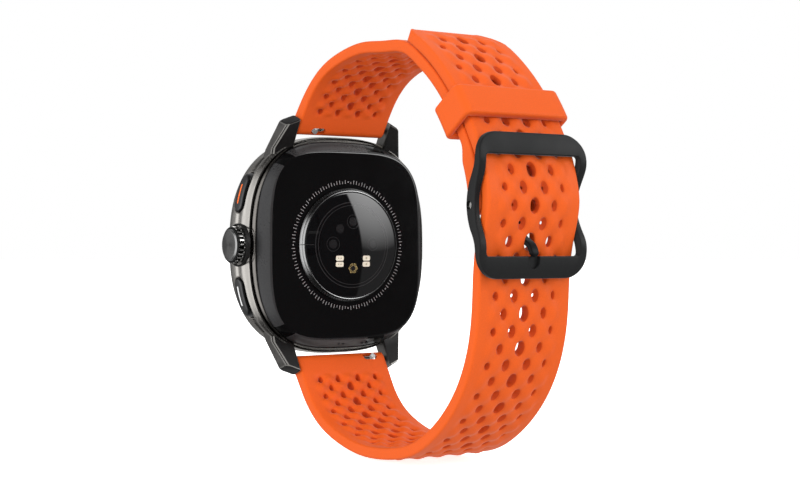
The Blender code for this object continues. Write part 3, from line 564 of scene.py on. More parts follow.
def remap(tree, value, low, high, start=0.3, end=0.7):
    """A value from start to end, clamped and stretched to low to high."""
    node = tree.nodes.new("ShaderNodeMapRange")
    node.inputs["From Min"].default_value = start
    node.inputs["From Max"].default_value = end
    node.inputs["To Min"].default_value = low
    node.inputs["To Max"].default_value = high
    tree.links.new(value, node.inputs["Value"])
    return node.outputs["Result"]


def mix_colour(tree, factor, low, high):
    """The low colour where the factor is under 0.3 and the high one over 0.7."""
    node = tree.nodes.new("ShaderNodeMix")
    node.data_type = "RGBA"
    tree.links.new(remap(tree, factor, 0, 1), node.inputs["Factor"])
    node.inputs[6].default_value = (*low, 1)
    node.inputs[7].default_value = (*high, 1)
    return node.outputs[2]


SILICONE = procedural("orange_silicone", (0.72, 0.102, 0.012), 0.5, grain=5200, bump=0.1, spread=0.05,
                      specular=0.15)
# Darker copy of the strap silicone: painted shade on the walls inside the perforations
HOLE_SHADE_SILICONE = procedural("hole_painted_shade_silicone", (0.56, 0.062, 0.008), 0.55, grain=5200, bump=0.1,
                           spread=0.05, specular=0.15)
GUNMETAL = procedural("gunmetal", (0.37, 0.355, 0.335), 0.3, 1.0, grain=900, bump=0.05,
                      spread=0.14, stretch=(5, 5, 0.5), smudge=0.02)
LUG_METAL = procedural("lug_metal", (0.12, 0.115, 0.11), 0.33, 1.0, grain=1500, bump=0.08,
                       spread=0.2, stretch=(3, 3, 0.6), smudge=0.02)
# Near black: painted shade on the lugs' rear faces, ends and grooves, and in the crown's well
PAINTED_SHADE_METAL = procedural("painted_shade_finish", (0.012, 0.012, 0.012), 0.4, grain=1500, bump=0.05,
                      spread=0.2, specular=0.12)
# Lighter metal: painted highlights along the lugs' chamfer lines
LUG_HIGHLIGHT_METAL = procedural("lug_painted_highlight", (0.17, 0.165, 0.155), 0.3, 0.7, grain=1500, bump=0.05)
RING_METAL = procedural("collar_metal", (0.3, 0.3, 0.3), 0.2, 1.0, grain=2500, bump=0.02)
RIM_METAL = procedural("rim_metal", (0.17, 0.16, 0.15), 0.24, 1.0, grain=1600, bump=0.04,
                       spread=0.08, stretch=(5, 5, 0.5))
STEEL = procedural("polished_steel_finish", (0.62, 0.61, 0.59), 0.16, 1.0, grain=2500, bump=0.02)
PIN_STEEL = procedural("pin_steel_finish", (0.85, 0.85, 0.85), 0.42, 0.85, grain=2500, bump=0.02)
# Near-black gloss that paints dark reflections on the rear bevel's corners
BEVEL_REFLECTION_BLACK = procedural("bevel_painted_reflection", (0.003, 0.003, 0.0032), 0.2, grain=2500, bump=0.0,
                         spread=0.2, rough_spread=0.02, smudge=0.03, specular=0.12)
BEVEL_GREY = procedural("bevel_satin", (0.03, 0.03, 0.031), 0.3, grain=2500, bump=0.02,
                        spread=0.12, rough_spread=0.02, smudge=0.03, specular=0.2)
PLATE_BLACK = procedural("rear_glass_finish", (0.003, 0.003, 0.0033), 0.06, grain=2500, bump=0.0,
                         spread=0.2, rough_spread=0.01, smudge=0.02)
DOME_BLACK = procedural("sensor_glass_finish", (0.003, 0.003, 0.0035), 0.03, grain=2500, bump=0.0,
                        rough_spread=0.01, smudge=0.01)
BUTTON_METAL = procedural("button_metal", (0.07, 0.07, 0.072), 0.36, 1.0, grain=1800, bump=0.08,
                          spread=0.12, stretch=(3, 3, 0.7))
BUCKLE_METAL = procedural("buckle_coating", (0.015, 0.0153, 0.0157), 0.42, grain=6500, bump=0.15,
                          spread=0.2, specular=0.1)
TONGUE_METAL = procedural("tongue_coating", (0.006, 0.006, 0.0065), 0.42, grain=6500, bump=0.1,
                          specular=0.1)
INK = procedural("grey_ink", (0.24, 0.24, 0.245), 0.45, grain=6000, spread=0.2)
CREAM = procedural("emitter_cream_finish", (0.74, 0.73, 0.6), 0.35, grain=4000, spread=0.05)
GOLD = procedural("gold_finish", (0.65, 0.47, 0.2), 0.25, 1.0, grain=6000, bump=0.5, spread=0.3)
DARK_LENS = procedural("dark_lens_finish", (0.013, 0.013, 0.014), 0.05, grain=3000, bump=0.0)
RING_LINE = procedural("window_line_finish", (0.02, 0.02, 0.021), 0.05, grain=3000, bump=0.0)
ORANGE_LINE = procedural("orange_enamel", (0.95, 0.15, 0.0), 0.35, grain=4000, bump=0.02)
WHITE_LINE = procedural("white_enamel", (0.85, 0.85, 0.85), 0.35, grain=4000, bump=0.02)
BLACK_PLASTIC = procedural("moulded_plastic", (0.02, 0.02, 0.021), 0.5, grain=5000, bump=0.15)
RUBBER = procedural("seal_rubber_finish", (0.012, 0.012, 0.012), 0.65, grain=4000, bump=0.2)
BOARD = procedural("solder_mask", (0.015, 0.11, 0.05), 0.4, grain=700, spread=0.35)
FOIL = procedural("battery_foil_finish", (0.36, 0.36, 0.38), 0.34, 0.8, grain=900, bump=0.3)
COPPER = procedural("copper_winding", (0.72, 0.34, 0.16), 0.3, 1.0, grain=4000, bump=0.2)
EMITTER_CHIP = procedural("emitter_chip", (0.42, 0.40, 0.28), 0.3, grain=4000)
CERAMIC = procedural("antenna_ceramic", (0.6, 0.58, 0.5), 0.45, grain=3500, spread=0.08)


# ---------------------------------------------------------------- straps

def closure_arc(radius, start, end, count):
    """Points of an arc round the closure's centre, between two angles in degrees."""
    angles = np.radians(np.linspace(start, end, count))
    y, z = CLOSURE_CENTRE
    return [(y + radius * math.cos(a), z + radius * math.sin(a)) for a in angles]


UPPER_OUTER = (
    [(-5.07, 25.96), (-2.6, 28.9), (0.75, 32.4), (6.7, 36.5), (14.7, 39.0), (22.3, 39.8)]
    + [(29.0, 39.3)]
    + closure_arc(SHORT_RADIUS, 62, 24, 7)
    + [(59.6, 11.3), (60.36, 7.3)]
)
LOWER_OUTER = (
    [(-5.01, -26.02), (-2.9, -28.6), (0.05, -32.4), (5.8, -37.05), (13.1, -39.9), (19.9, -41.25)]
    + [(26.6, -41.45), (32.5, -40.9), (38.5, -39.6), (43.3, -37.4), (47.5, -34.6)]
    + [(51.5, -31.0), (55.0, -26.6)]
    + [(57.6, -21.6), (59.2, -16.3), (59.95, -10.5), (60.3, -5.0), (61.3, 0.6), (62.6, 5.0)]
    + [(63.0, 8.0), (62.3, 12.0), (60.9, 16.2)]
    + closure_arc(TAIL_RADIUS, 29, 62.5, 6)
)

class StrapLine:
    """The outer face's line of one strap, with its thickness and the way out, by distance along."""

    def __init__(self, points, outward_side, end_thickness):
        line = spline_through(points, 600)
        self.line = line
        self.out = normals(line) * outward_side
        steps = np.linalg.norm(np.diff(line, axis=0), axis=1)
        self.along = np.concatenate([[0.0], np.cumsum(steps)])
        self.length = self.along[-1]
        self.end_thickness = end_thickness

    def thickness(self, s):
        at_lug = np.clip(1 - s / LUG_RUN, 0, 1) ** 2 * (STRAP_LUG_THICKNESS - STRAP_THICKNESS)
        start, run = STRAP_LOOP_RUN
        from_end = np.clip((start - (self.length - s)) / run, 0, 1)
        from_end = from_end * from_end * (3 - 2 * from_end)
        return STRAP_THICKNESS + at_lug + from_end * (self.end_thickness - STRAP_THICKNESS)

    def at(self, s, depth, x):
        """Points at a distance along, a depth below the outer face, and a place across."""
        inside = np.clip(s, 0, self.length)
        y = np.interp(inside, self.along, self.line[:, 0])
        z = np.interp(inside, self.along, self.line[:, 1])
        out_y = np.interp(inside, self.along, self.out[:, 0])
        out_z = np.interp(inside, self.along, self.out[:, 1])
        size = np.hypot(out_y, out_z)
        out_y, out_z = out_y / size, out_z / size
        turn = np.sign(np.cross(self.out[0], self.line[1] - self.line[0]))
        beyond = s - inside
        y = y - out_y * depth - turn * out_z * beyond
        z = z - out_z * depth + turn * out_y * beyond
        start, end = STRAP_TAPER_Y
        part = np.clip((y - start) / (end - start), 0, 1)
        return np.column_stack([x * (1 + part * (STRAP_HALF_BUCKLE / STRAP_HALF_LUG - 1)), y, z])


def ellipse(centre, half_x, half_s, count):
    """A hole's outline in (s, x)."""
    angles = np.linspace(0, 2 * math.pi, count, endpoint=False)
    return np.column_stack([centre[0] + half_s * np.sin(angles), centre[1] + half_x * np.cos(angles)])


def stadium(centre, half_length, half_width, count=12):
    """A slot outline in (s, x), long in x."""
    ends = []
    for side in (1, -1):
        for angle in np.linspace(-90, 90, count):
            a = math.radians(angle)
            reach = half_length - half_width + half_width * math.cos(a)
            ends.append((centre[0] + side * half_width * math.sin(a), centre[1] + side * reach))
    return np.array(ends)


class Rows:
    """Row numbers along a strap: even rows hold three holes, and the pitch grows from the lug."""

    def __init__(self, length, anchor=None):
        self.s = np.linspace(0, length, 3000)
        pitch = np.minimum(LUG_PITCH + PITCH_GROWTH * self.s, LONG_PITCH)
        if anchor is not None:
            pitch = np.where(self.s > anchor, TAIL_PITCH, pitch)
        steps = np.diff(self.s) / ((pitch[1:] + pitch[:-1]) / 2)
        count = np.concatenate([[0.0], np.cumsum(steps)])
        count -= np.interp(FIRST_ROW, self.s, count)
        if anchor is not None:
            # A whole, odd number of rows up to the hole that the tongue sits in
            wanted = 2 * round((np.interp(anchor, self.s, count) - 1) / 2) + 1
            part = wanted / np.interp(anchor, self.s, count)
            count = np.where(self.s > anchor, count + wanted - wanted / part, count * part)
        self.number = count + 1
        self.anchor = anchor

    def at(self, s):
        return np.interp(s, self.s, self.number)

    def holes(self, last):
        """Every perforation as (s, x, half width, half length)."""
        found = []
        for row in range(1, int(self.at(last)) + 1):
            s = np.interp(row, self.number, self.s)
            grown = min(0.68 + 0.32 * (s - FIRST_ROW) / 15, 1)
            for x, half_x, half_s in NARROW_ROW if row % 2 else WIDE_ROW:
                if self.anchor is not None and x == 0 and abs(s - self.anchor) < 0.5:
                    half_x, half_s = TONGUE_HOLE
                elif abs(x) < 6:
                    half_x = half_x * grown
                found.append((s, x, half_x, half_s * (grown if abs(x) < 6 else 0.5 + grown / 2)))
        return found


def relief(s, x, rows, last):
    """The relief's wave, 1 in the hollows and -1 on the bumps, and its fade at edges and ends."""
    wave = np.cos(2 * math.pi * x / RELIEF_PERIOD_X) * np.cos(math.pi * rows.at(s))
    fade = np.clip((9.4 - np.abs(x)) / 2.2, 0, 1)
    fade = fade * np.clip((s - FIRST_ROW + 2.2) / 2.6, 0, 1) * np.clip((last + 2.6 - s) / 3.0, 0, 1)
    return wave, fade * fade * (3 - 2 * fade)


def nose_arc(reach):
    """Distances from the start of a rounded end to its tip."""
    return reach * np.sin(np.radians([0, 15, 30, 45, 60, 75, 90]))


def tail_corner(length, side):
    """A quarter circle at the tail's end, from the strap's edge round to its tip."""
    radius = TIP_CORNERS[side]
    middle = STRAP_HALF_LUG - radius
    turns = np.radians(np.linspace(0, 90, 10))
    return [(length - radius * (1 - math.sin(a)), side * (middle + radius * math.cos(a))) for a in turns]


def tail_end(length, across):
    """The tail's end in (s, x), from the far side's edge round to the crown side's."""
    far = tail_corner(length, -1)
    near = tail_corner(length, 1)
    straight = [(length, x) for x in across if far[-1][1] + 0.2 < x < near[-1][1] - 0.2]
    return far + straight + near[::-1]


def notched_end(tip, across, notch):
    """The buckle end in (s, x), with the notch for the tongue."""
    gap, deep = notch
    down = [(s, -gap) for s in np.arange(tip - 0.4, deep, -0.4)]
    loop = [(tip, x) for x in across[1:-1] if x < -gap - 0.1]
    loop += [(tip, -gap)] + down + [(deep, x) for x in np.linspace(-gap, gap, 7)]
    loop += [(s, gap) for s, _ in down[::-1]] + [(tip, gap)]
    return loop + [(tip, x) for x in across[1:-1] if x > gap + 0.1]


def strap_outline(length, nose_end, notch):
    """The flat outline in (s, x), counterclockwise, and the distances where its edge has points."""
    half = STRAP_HALF_LUG
    across = np.arange(-half, half + 0.01, half / 24)
    along = np.concatenate([-nose_arc(LUG_NOSE)[:0:-1], np.arange(0, length, MESH_STEP)[:-1]])
    if nose_end:
        along = np.concatenate([along, length + nose_arc(nose_end)])
        loop = [(s, -half) for s in along] + notched_end(along[-1], across, notch)
        loop += [(s, half) for s in along[::-1]]
    else:
        loop = [(s, -half) for s in along if s < length - TIP_CORNERS[-1] - 0.2]
        loop += tail_end(length, across)
        loop += [(s, half) for s in along[::-1] if s < length - TIP_CORNERS[1] - 0.2]
    loop += [(along[0], x) for x in across[::-1][1:-1]]
    return np.array(loop), along


def beyond_tail_corner(points, length, margin):
    """Which plan points lie outside the tail's rounded corners, or nearly so."""
    outside = np.zeros(len(points), bool)
    for side, radius in TIP_CORNERS.items():
        along = points[:, 0] - (length - radius)
        across = side * points[:, 1] - (STRAP_HALF_LUG - radius)
        outside |= (along > 0) & (across > 0) & (np.hypot(along, across) > radius - margin)
    return outside


def strap_plan(outline, holes, slot, along, notch):
    """Every plan point and fixed edge for the triangulation, with each point's edge drop."""
    half = STRAP_HALF_LUG
    points = [outline]
    drops = [np.full(len(outline), np.nan)]
    edges = [(i, (i + 1) % len(outline)) for i in range(len(outline))]
    size = len(outline)
    rings = []

    def add_ring(ring, drop):
        nonlocal size
        points.append(ring)
        drops.append(np.full(len(ring), drop))
        edges.extend((size + i, size + (i + 1) % len(ring)) for i in range(len(ring)))
        start = size
        size += len(ring)
        return range(start, size)

    for s, x, half_x, half_s in holes:
        count = 28 if half_x > 0.8 else 22
        rings.append(add_ring(ellipse((s, x), half_x, half_s, count), HOLE_ROUND))
        add_ring(ellipse((s, x), half_x + 0.05, half_s + 0.05, count), HOLE_ROUND * 0.32)
        add_ring(ellipse((s, x), half_x + HOLE_ROUND, half_s + HOLE_ROUND, count), 0.0)
    slot_ring = add_ring(slot, np.nan)
    inner = []
    for inset in (0.07, 0.17, 0.32, SIDE_ROUND):
        for side in (1, -1):
            inner += [(s, side * (half - inset)) for s in along[1:-1]]
    inside_x = np.arange(-half + SIDE_ROUND + 0.4, half - SIDE_ROUND - 0.3, MESH_STEP)
    for i, s in enumerate(along[1:-1]):
        shift = MESH_STEP / 2 * (i % 2)
        inner += [(s, x + shift) for x in inside_x if x + shift < half - SIDE_ROUND - 0.25]
    inner = np.array(inner)
    keep = np.ones(len(inner), bool)
    for s, x, half_x, half_s in holes:
        grown_x = half_x + HOLE_ROUND + 0.16
        grown_s = half_s + HOLE_ROUND + 0.16
        keep &= ((inner[:, 1] - x) / grown_x) ** 2 + ((inner[:, 0] - s) / grown_s) ** 2 > 1
    for s, x in slot:
        keep &= np.hypot(inner[:, 0] - s, inner[:, 1] - x) > 0.14
    if notch is not None:
        keep &= ~((np.abs(inner[:, 1]) < notch[0] + 0.12) & (inner[:, 0] > notch[1] - 0.12))
    length = outline[:, 0].max()
    keep &= inner[:, 0] < length - 0.1
    if notch is None:
        keep &= ~beyond_tail_corner(inner, length, 0.25)
    points.append(inner[keep])
    drops.append(np.zeros(keep.sum()))
    return np.concatenate(points), np.concatenate(drops), edges, rings, slot_ring


def strap_faces(points, edges, holes, notch):
    """The triangulated plan: its points, and its triangles outside the holes and the notch."""
    flat = [Vector(point) for point in points]
    found, _, triangles, _, _, _ = delaunay_2d_cdt(flat, edges, [], 1, 1e-6, False)
    plan = np.array([tuple(point) for point in found])
    faces = np.array([face for face in triangles if len(face) == 3])
    middle = plan[faces].mean(axis=1)
    keep = np.ones(len(faces), bool)
    for s, x, half_x, half_s in holes:
        keep &= ((middle[:, 1] - x) / half_x) ** 2 + ((middle[:, 0] - s) / half_s) ** 2 > 1
    if notch is not None:
        keep &= ~((np.abs(middle[:, 1]) < notch[0]) & (middle[:, 0] > notch[1]))
    return plan, faces[keep]


def strap_depths(strap, plan, drop, rows, last, nose_end, free_inside):
    """How deep the outer and the inner face lie below the strap's line, at each plan point."""
    s, x = plan[:, 0], plan[:, 1]
    drop = np.nan_to_num(drop[:len(plan)])
    drop = np.maximum(drop, round_drop(STRAP_HALF_LUG - np.abs(x), SIDE_ROUND))
    if not nose_end:
        drop = np.maximum(drop, round_drop(strap.length - s, TIP_ROUND))
    thickness = strap.thickness(s)
    rounding = round_drop(np.minimum(s, 0) + LUG_NOSE, LUG_NOSE)
    if nose_end:
        rounding = rounding + round_drop(strap.length + nose_end - np.maximum(s, strap.length), nose_end)
    wave, fade = relief(s, x, rows, last)
    raised = 1.0 if free_inside is None else np.clip((free_inside - s) / 3, 0, 1)
    outer = drop + rounding + OUTER_RELIEF * wave * fade
    inner = thickness - drop - rounding - INNER_RELIEF * (wave + 1 - raised) * fade
    return np.minimum(outer, thickness / 2), np.maximum(inner, thickness / 2)


def hole_walls(strap, plan, rings, holes, depth, anchor, start):
    """Points and faces of the holes' walls, which narrow halfway through; start counts the points."""
    count = len(plan)
    points = []
    faces = []
    for ring, (hole_s, hole_x, _, _) in zip(rings, holes):
        ring = list(ring)
        centre = np.array([hole_s, hole_x])
        narrowing = HOLE_WAIST if hole_x == 0 else SIDE_HOLE_WAIST
        if anchor is not None and abs(hole_s - anchor) < 0.5:
            narrowing = 1.0
        waist = centre + (plan[ring] - centre) * narrowing
        points.append(strap.at(waist[:, 0], depth[ring], waist[:, 1]))
        for i in range(len(ring)):
            k = (i + 1) % len(ring)
            a, b = ring[i], ring[k]
            faces.append((a, b, start + k, start + i))
            faces.append((start + i, start + k, count + b, count + a))
        start += len(ring)
    return points, faces


def strap_mesh(name, strap, rows, last, side_z, nose_end=0.0, notch=None, free_inside=None):
    """A perforated strap: a triangulated plan, bent along its line, with relief on both faces."""
    holes = rows.holes(last)
    knob = KNOB_X[side_z]
    slot_centre = (SLOT_S, knob - math.copysign(SLOT_SHIFT, knob))
    slot = stadium(slot_centre, *RELEASE_SLOT)
    outline, along = strap_outline(strap.length, nose_end, notch)
    points, drop, edges, rings, slot_ring = strap_plan(outline, holes, slot, along, notch)
    plan, faces = strap_faces(points, edges, holes, notch)
    outer, inner = strap_depths(strap, plan, drop, rows, last, nose_end, free_inside)
    count = len(plan)
    s, x = plan[:, 0], plan[:, 1]
    in_slot = slot_distance(plan[faces].mean(axis=1), slot_centre, *RELEASE_SLOT) < 0
    floor = sorted(set(faces[in_slot].ravel().tolist()))
    floor_of = {vertex: 2 * count + i for i, vertex in enumerate(floor)}
    shell = [strap.at(s, outer, x), strap.at(s, inner, x)]
    shell.append(strap.at(s[floor], np.full(len(floor), SLOT_FLOOR), x[floor]))
    skin = [tuple(face) for face in faces]
    for face, sunk in zip(faces, in_slot):
        if sunk:
            skin.append(tuple(floor_of[i] for i in face[::-1]))
        else:
            skin.append(tuple(count + i for i in face[::-1]))
    for i in range(len(outline)):
        a, b = i, (i + 1) % len(outline)
        skin.append((a, b, count + b, count + a))
    for i in range(len(slot_ring)):
        a, b = slot_ring[i], slot_ring[(i + 1) % len(slot_ring)]
        skin.append((count + a, count + b, floor_of[b], floor_of[a]))
    size = 2 * count + len(floor)
    walls, wall_faces = hole_walls(strap, plan, rings, holes, (outer + inner) / 2, rows.anchor, size)
    # The holes' walls take the second material, darker silicone as painted shade
    paint = [0] * len(skin) + [1] * len(wall_faces)
    shells = [(np.concatenate(shell + walls), skin + wall_faces, paint)]
    return make_mesh(name, shells, angle=50, weld=2e-6)


def slot_distance(points, centre, half_length, half_width):
    """Signed distance to a slot outline that is long in x; negative inside."""
    across = np.clip(np.abs(points[:, 1] - centre[1]) - (half_length - half_width), 0, None)
    return np.hypot(points[:, 0] - centre[0], across) - half_width


def build_straps():
    """The short upper strap with its notch, and the long lower strap."""
    upper = StrapLine(UPPER_OUTER, 1, STRAP_LOOP_THICKNESS)
    notch = (NOTCH_HALF, upper.length - NOTCH_DEPTH)
    upper_mesh = strap_mesh("upper_strap_skin", upper, Rows(upper.length), upper.length - 6, 1,
                            STRAP_LOOP_THICKNESS / 2, notch)
    lower = StrapLine(LOWER_OUTER, -1, STRAP_THICKNESS)
    rising = lower.line[:, 0] > 55
    tongue_at = np.interp(TONGUE_HOLE_Z, lower.line[rising, 1], lower.along[rising])
    lower_mesh = strap_mesh("lower_strap_skin", lower, Rows(lower.length, tongue_at),
                            lower.length - 2.5, -1, free_inside=tongue_at - 8)
    for name, mesh in (("upper_strap", upper_mesh), ("lower_strap", lower_mesh)):
        strap = add_piece(name + "_silicone", mesh, [SILICONE, HOLE_SHADE_SILICONE], "case",
                          [name])
        strap.visible_glossy = False


# ---------------------------------------------------------------- case

def case_half(y):
    """The case outline's half width and half height at a y, from its sections."""
    outer = CASE_SECTIONS[2:25]
    ys = [-section[3] for section in outer]
    half_x = np.interp(-y, ys, [section[0] for section in outer])
    half_z = np.interp(-y, ys, [section[1] for section in outer])
    return half_x, half_z


def flank(y, z):
    """How far out the case's side lies at a y and z."""
    half_x, half_z = case_half(y)
    return half_x * (1 - np.abs(z / half_z) ** FLANK_EXPONENT) ** (1 / FLANK_EXPONENT)


def button_face(depth, z):
    """How far out a button's face lies at a depth below its top."""
    half_x, half_z, exponent = BUTTON_FACE
    return (half_x - depth) * (1 - (np.abs(z) / (half_z - depth)) ** exponent) ** (1 / exponent)


def pill_ring(low, high, half, inset=0.0, arc=13):
    """A rounded slot outline in (y offset, z): up one side and down the other."""
    reach = half - inset
    ring = []
    straight = np.linspace(low + half, high - half, 9)[1:-1]
    for degrees in np.linspace(-90, 0, arc):
        a = math.radians(degrees)
        ring.append((reach * math.cos(a), low + half + reach * math.sin(a)))
    ring += [(reach, z) for z in straight]
    for degrees in np.linspace(0, 90, arc):
        a = math.radians(degrees)
        ring.append((reach * math.cos(a), high - half + reach * math.sin(a)))
    mirror = [(-w, z) for w, z in ring[::-1]]
    return np.array(ring + mirror)


def pill(low, high, half, depths, side_z):
    """A rounded bar that follows the flank: rings of (inset, depth) from its back to its face."""
    rows = []
    for inset, depth in depths:
        ring = pill_ring(low, high, half, inset)
        x = button_face(depth, ring[:, 1])
        rows.append(np.column_stack([x, BUTTON_Y + ring[:, 0], side_z * ring[:, 1]]))
    count = len(rows[0])
    faces = grid_faces(len(rows), count)
    for start in (0, (len(rows) - 1) * count):
        for i in range(count // 2 - 1):
            faces.append((start + i, start + i + 1, start + count - 2 - i, start + count - 1 - i))
    return np.concatenate(rows), faces


def build_buttons():
    """For each button: its cap, its coloured line and the rim of its pocket."""
    for name, side_z, line in (("upper_button", 1, ORANGE_LINE), ("lower_button", -1, WHITE_LINE)):
        round_edge = 0.6
        depths = [(0.02, 1.6), (0.0, 1.5)]
        for degrees in (0, 15, 30, 45, 60, 75, 90):
            a = math.radians(degrees)
            depths.append((round_edge * (1 - math.cos(a)), round_edge * (1 - math.sin(a)) + 0.02))
        depths += [(1.2, 0.0), (BUTTON_HALF - 0.02, -0.02)]
        mesh = make_mesh(name + "_cap_skin", [pill(*BUTTON_Z, BUTTON_HALF, depths, side_z)], 40)
        add_piece(name + "_cap_metal", mesh, BUTTON_METAL, name, [name + "_cap"])
        strip = [(0.0, 0.3), (0.0, -0.02), (0.05, -0.05), (0.2, -0.05)]
        mesh = make_mesh(name + "_line", [pill(*INLAY_Z, 0.24, strip, side_z)], 40)
        add_piece(name + "_inlay_line", mesh, line, name, [name + "_inlay"])
        grow = 0.34
        ring = pill_ring(BUTTON_Z[0] - grow, BUTTON_Z[1] + grow, BUTTON_HALF + grow)
        x = flank(BUTTON_Y + ring[:, 0], ring[:, 1])
        path = np.column_stack([x - 0.04, BUTTON_Y + ring[:, 0], side_z * ring[:, 1]])
        mesh = make_mesh(name + "_rim", [tube(path, 0.17)], 60)
        add_piece(name + "_pocket_rim", mesh, RIM_METAL, "case")


def lug_sections(side_x, side_z):
    """One strap horn as chamfered four-sided sections from its root to its tip."""
    stations = np.array(LUG_STATIONS)
    rows = []
    for t in LUG_STEPS:
        i = min(int(t), 1)
        corners = stations[i] * (i + 1 - t) + stations[i + 1] * (t - i)
        rows.append(chamfered(corners, LUG_SHRINK.get(t, 0.0)))
    rows = [row * np.array([side_x, 1, side_z]) for row in rows]
    points, faces = capped(rows)
    strips = len(rows[0])
    paint = [LUG_SHADE_AND_HIGHLIGHT.get(i % strips, 0) for i in range(len(faces))]
    # The tip: a painted highlight on its edge, then painted shade on its end face
    paint[-2 * strips - 2:-strips - 2] = [2] * strips
    paint[-strips - 2:] = [1] * (strips + 2)
    return points, faces, paint


def chamfered(corners, shrink):
    """A four-cornered section with a wide grooved chamfer at its outer rear corner."""
    inner_front, inner_rear, outer_rear, outer_front = corners
    middle = corners.mean(axis=0)
    small = 0.3 + shrink * 0.4
    wide = 0.62 + shrink * 0.6
    points = []
    for here, before, after, width in (
        (inner_front, outer_front, inner_rear, small),
        (inner_rear, inner_front, outer_rear, small),
        (outer_rear, inner_rear, outer_front, wide),
        (outer_front, outer_rear, inner_front, small),
    ):
        back = before - here
        ahead = after - here
        start = here + back / np.linalg.norm(back) * width
        end = here + ahead / np.linalg.norm(ahead) * width
        points.append(start)
        if width == wide:
            across = end - start
            sink = (middle - here) / np.linalg.norm(middle - here) * 0.14
            for share, depth in ((0.42, 0), (0.5, 1), (0.62, 1), (0.7, 0)):
                points.append(start + across * share + sink * depth)
        else:
            points.append(here * 0.3 + (start + end) * 0.35)
        points.append(end)
    points = np.array(points)
    return points + (middle - points) * (shrink / 3.5)


def slot_cutter(x_range, y_range, z_range):
    """A box with rounded ends in z, for a port in the case's side."""
    half = (y_range[1] - y_range[0]) / 2
    ring = pill_ring(*z_range, half)
    rows = []
    for x in x_range:
        y = sum(y_range) / 2 + ring[:, 0]
        rows.append(np.column_stack([np.full(len(ring), x), y, ring[:, 1]]))
    return capped(rows)


def build_midframe():
    """The case body with its pockets and ports, the lugs and the crown's well."""
    body = make_mesh("midframe_body", [cushion(CASE_SECTIONS)], 30)
    cutters = []
    depths = [(0.0, -2.5), (0.0, 2.35)]
    for side_z in (1, -1):
        low, high = BUTTON_Z
        pocket = pill(low - POCKET_GAP, high + POCKET_GAP, BUTTON_HALF + POCKET_GAP, depths, side_z)
        cutters.append(make_mesh("pocket", [pocket]))
    well = [(0.001, WELL_FLOOR), (WELL_RADIUS, WELL_FLOOR), (WELL_RADIUS, 26.0), (0.001, 26.0)]
    cutters.append(make_mesh("well", [turned(well, "X", (0, CROWN_Y, 0))]))
    for z_range in PORT_Z:
        cutters.append(make_mesh("port", [slot_cutter(PORT_X, PORT_Y, z_range)]))
    body = cut_mesh(body, cutters, 30)
    add_piece("midframe_shell", body, GUNMETAL, "case", ["midframe"])
    for side_x, across in ((1, "crown_side"), (-1, "far_side")):
        for side_z, height in ((1, "upper"), (-1, "lower")):
            name = "lug_" + height + "_" + across
            # Each lug takes painted shade on its rear face and groove and painted highlights on its
            # chamfer lines
            mesh = make_mesh(name, [lug_sections(side_x, side_z)], 20)
            add_piece(name, mesh, [LUG_METAL, PAINTED_SHADE_METAL, LUG_HIGHLIGHT_METAL], "case")
    build_crown_well()


def build_crown_well():
    """The collar round the crown's well, near black as painted shade in the well, and the washer on its
    floor.
    """
    section = [(0.0, 22.3), (0.28, 22.3), (0.28, 22.98), (0.18, 23.08), (0.0, 23.02)]
    ring = [(WELL_RADIUS + wall, x) for wall, x in section]
    mesh = make_mesh("crown_collar", [turned(ring, "X", (0, CROWN_Y, 0))], 40)
    # The collar is near black: painted shade in the crown's well
    add_piece("crown_well_collar", mesh, PAINTED_SHADE_METAL, "case")
    seal = [(1.6, 22.0), (3.4, 22.0), (3.4, 23.1), (1.6, 23.1)]
    mesh = make_mesh("crown_base", [turned(seal, "X", (0, CROWN_Y, 0))], 40)
    add_piece("crown_base_washer", mesh, RUBBER, "crown_plunger")


def painted_bevel():
    """The rear bevel: satin bands along the sides, and at each corner a near-black patch that paints a
    dark reflection.
    """
    points, faces = cushion(BEVEL_SECTIONS)
    paint = []
    for i in range(len(faces)):
        turn = (i % OUTLINE_COUNT + 0.5) * 360 / OUTLINE_COUNT
        from_side = abs((turn + 90) % 180 - 90)
        start, end = REFLECTION_PATCH_TURN[1 if math.cos(math.radians(turn)) > 0 else -1]
        # Slot 1 paints the dark reflection
        paint.append(1 if start < from_side < end else 0)
    return make_mesh("bevel", [(points, faces, paint)], 25)


def build_rear():
    """The rear's rim, bevel, plate and seal, with the printed ring and the ports."""
    rim = make_mesh("rim", [cushion(RIM_SECTIONS)], 40)
    add_piece("rear_rim", rim, RIM_METAL, "case")
    add_piece("rear_bevel", painted_bevel(), [BEVEL_GREY, BEVEL_REFLECTION_BLACK], "case",
              ["rear_bezel"])
    add_piece("rear_cover_plate", plate_mesh(), PLATE_BLACK, "case", ["rear_cover"])
    gasket = make_mesh("gasket", [cushion(REAR_GASKET_SECTIONS)], 40)
    add_piece("rear_seal_ring", gasket, RUBBER, "case", ["rear_gasket"])
    build_scale()
    build_ports()


def plate_mesh():
    """The flat rear plate with its round hole for the sensor window."""
    sections = []
    for inset, y in ((0.0, -1.2), (0.0, -0.12), (0.03, -0.04), (0.12, 0.0), (0.3, 0.0)):
        ring = superellipse(PLATE_HALF[0] - inset, PLATE_HALF[1] - inset, PLATE_EXPONENT)
        sections.append(np.column_stack([ring[:, 0], np.full(len(ring), y), ring[:, 1]]))
    angles = np.arctan2(sections[0][:, 2], sections[0][:, 0])
    for radius, y in ((12.3, 0.0), (12.1, 0.0), (12.05, -0.05), (12.05, -1.2)):
        hole = np.column_stack([radius * np.cos(angles), np.full(len(angles), y), radius * np.sin(angles)])
        sections.append(hole)
    faces = grid_faces(len(sections), OUTLINE_COUNT, wrap_rows=True)
    return make_mesh("plate", [(np.concatenate(sections), faces)], 30)


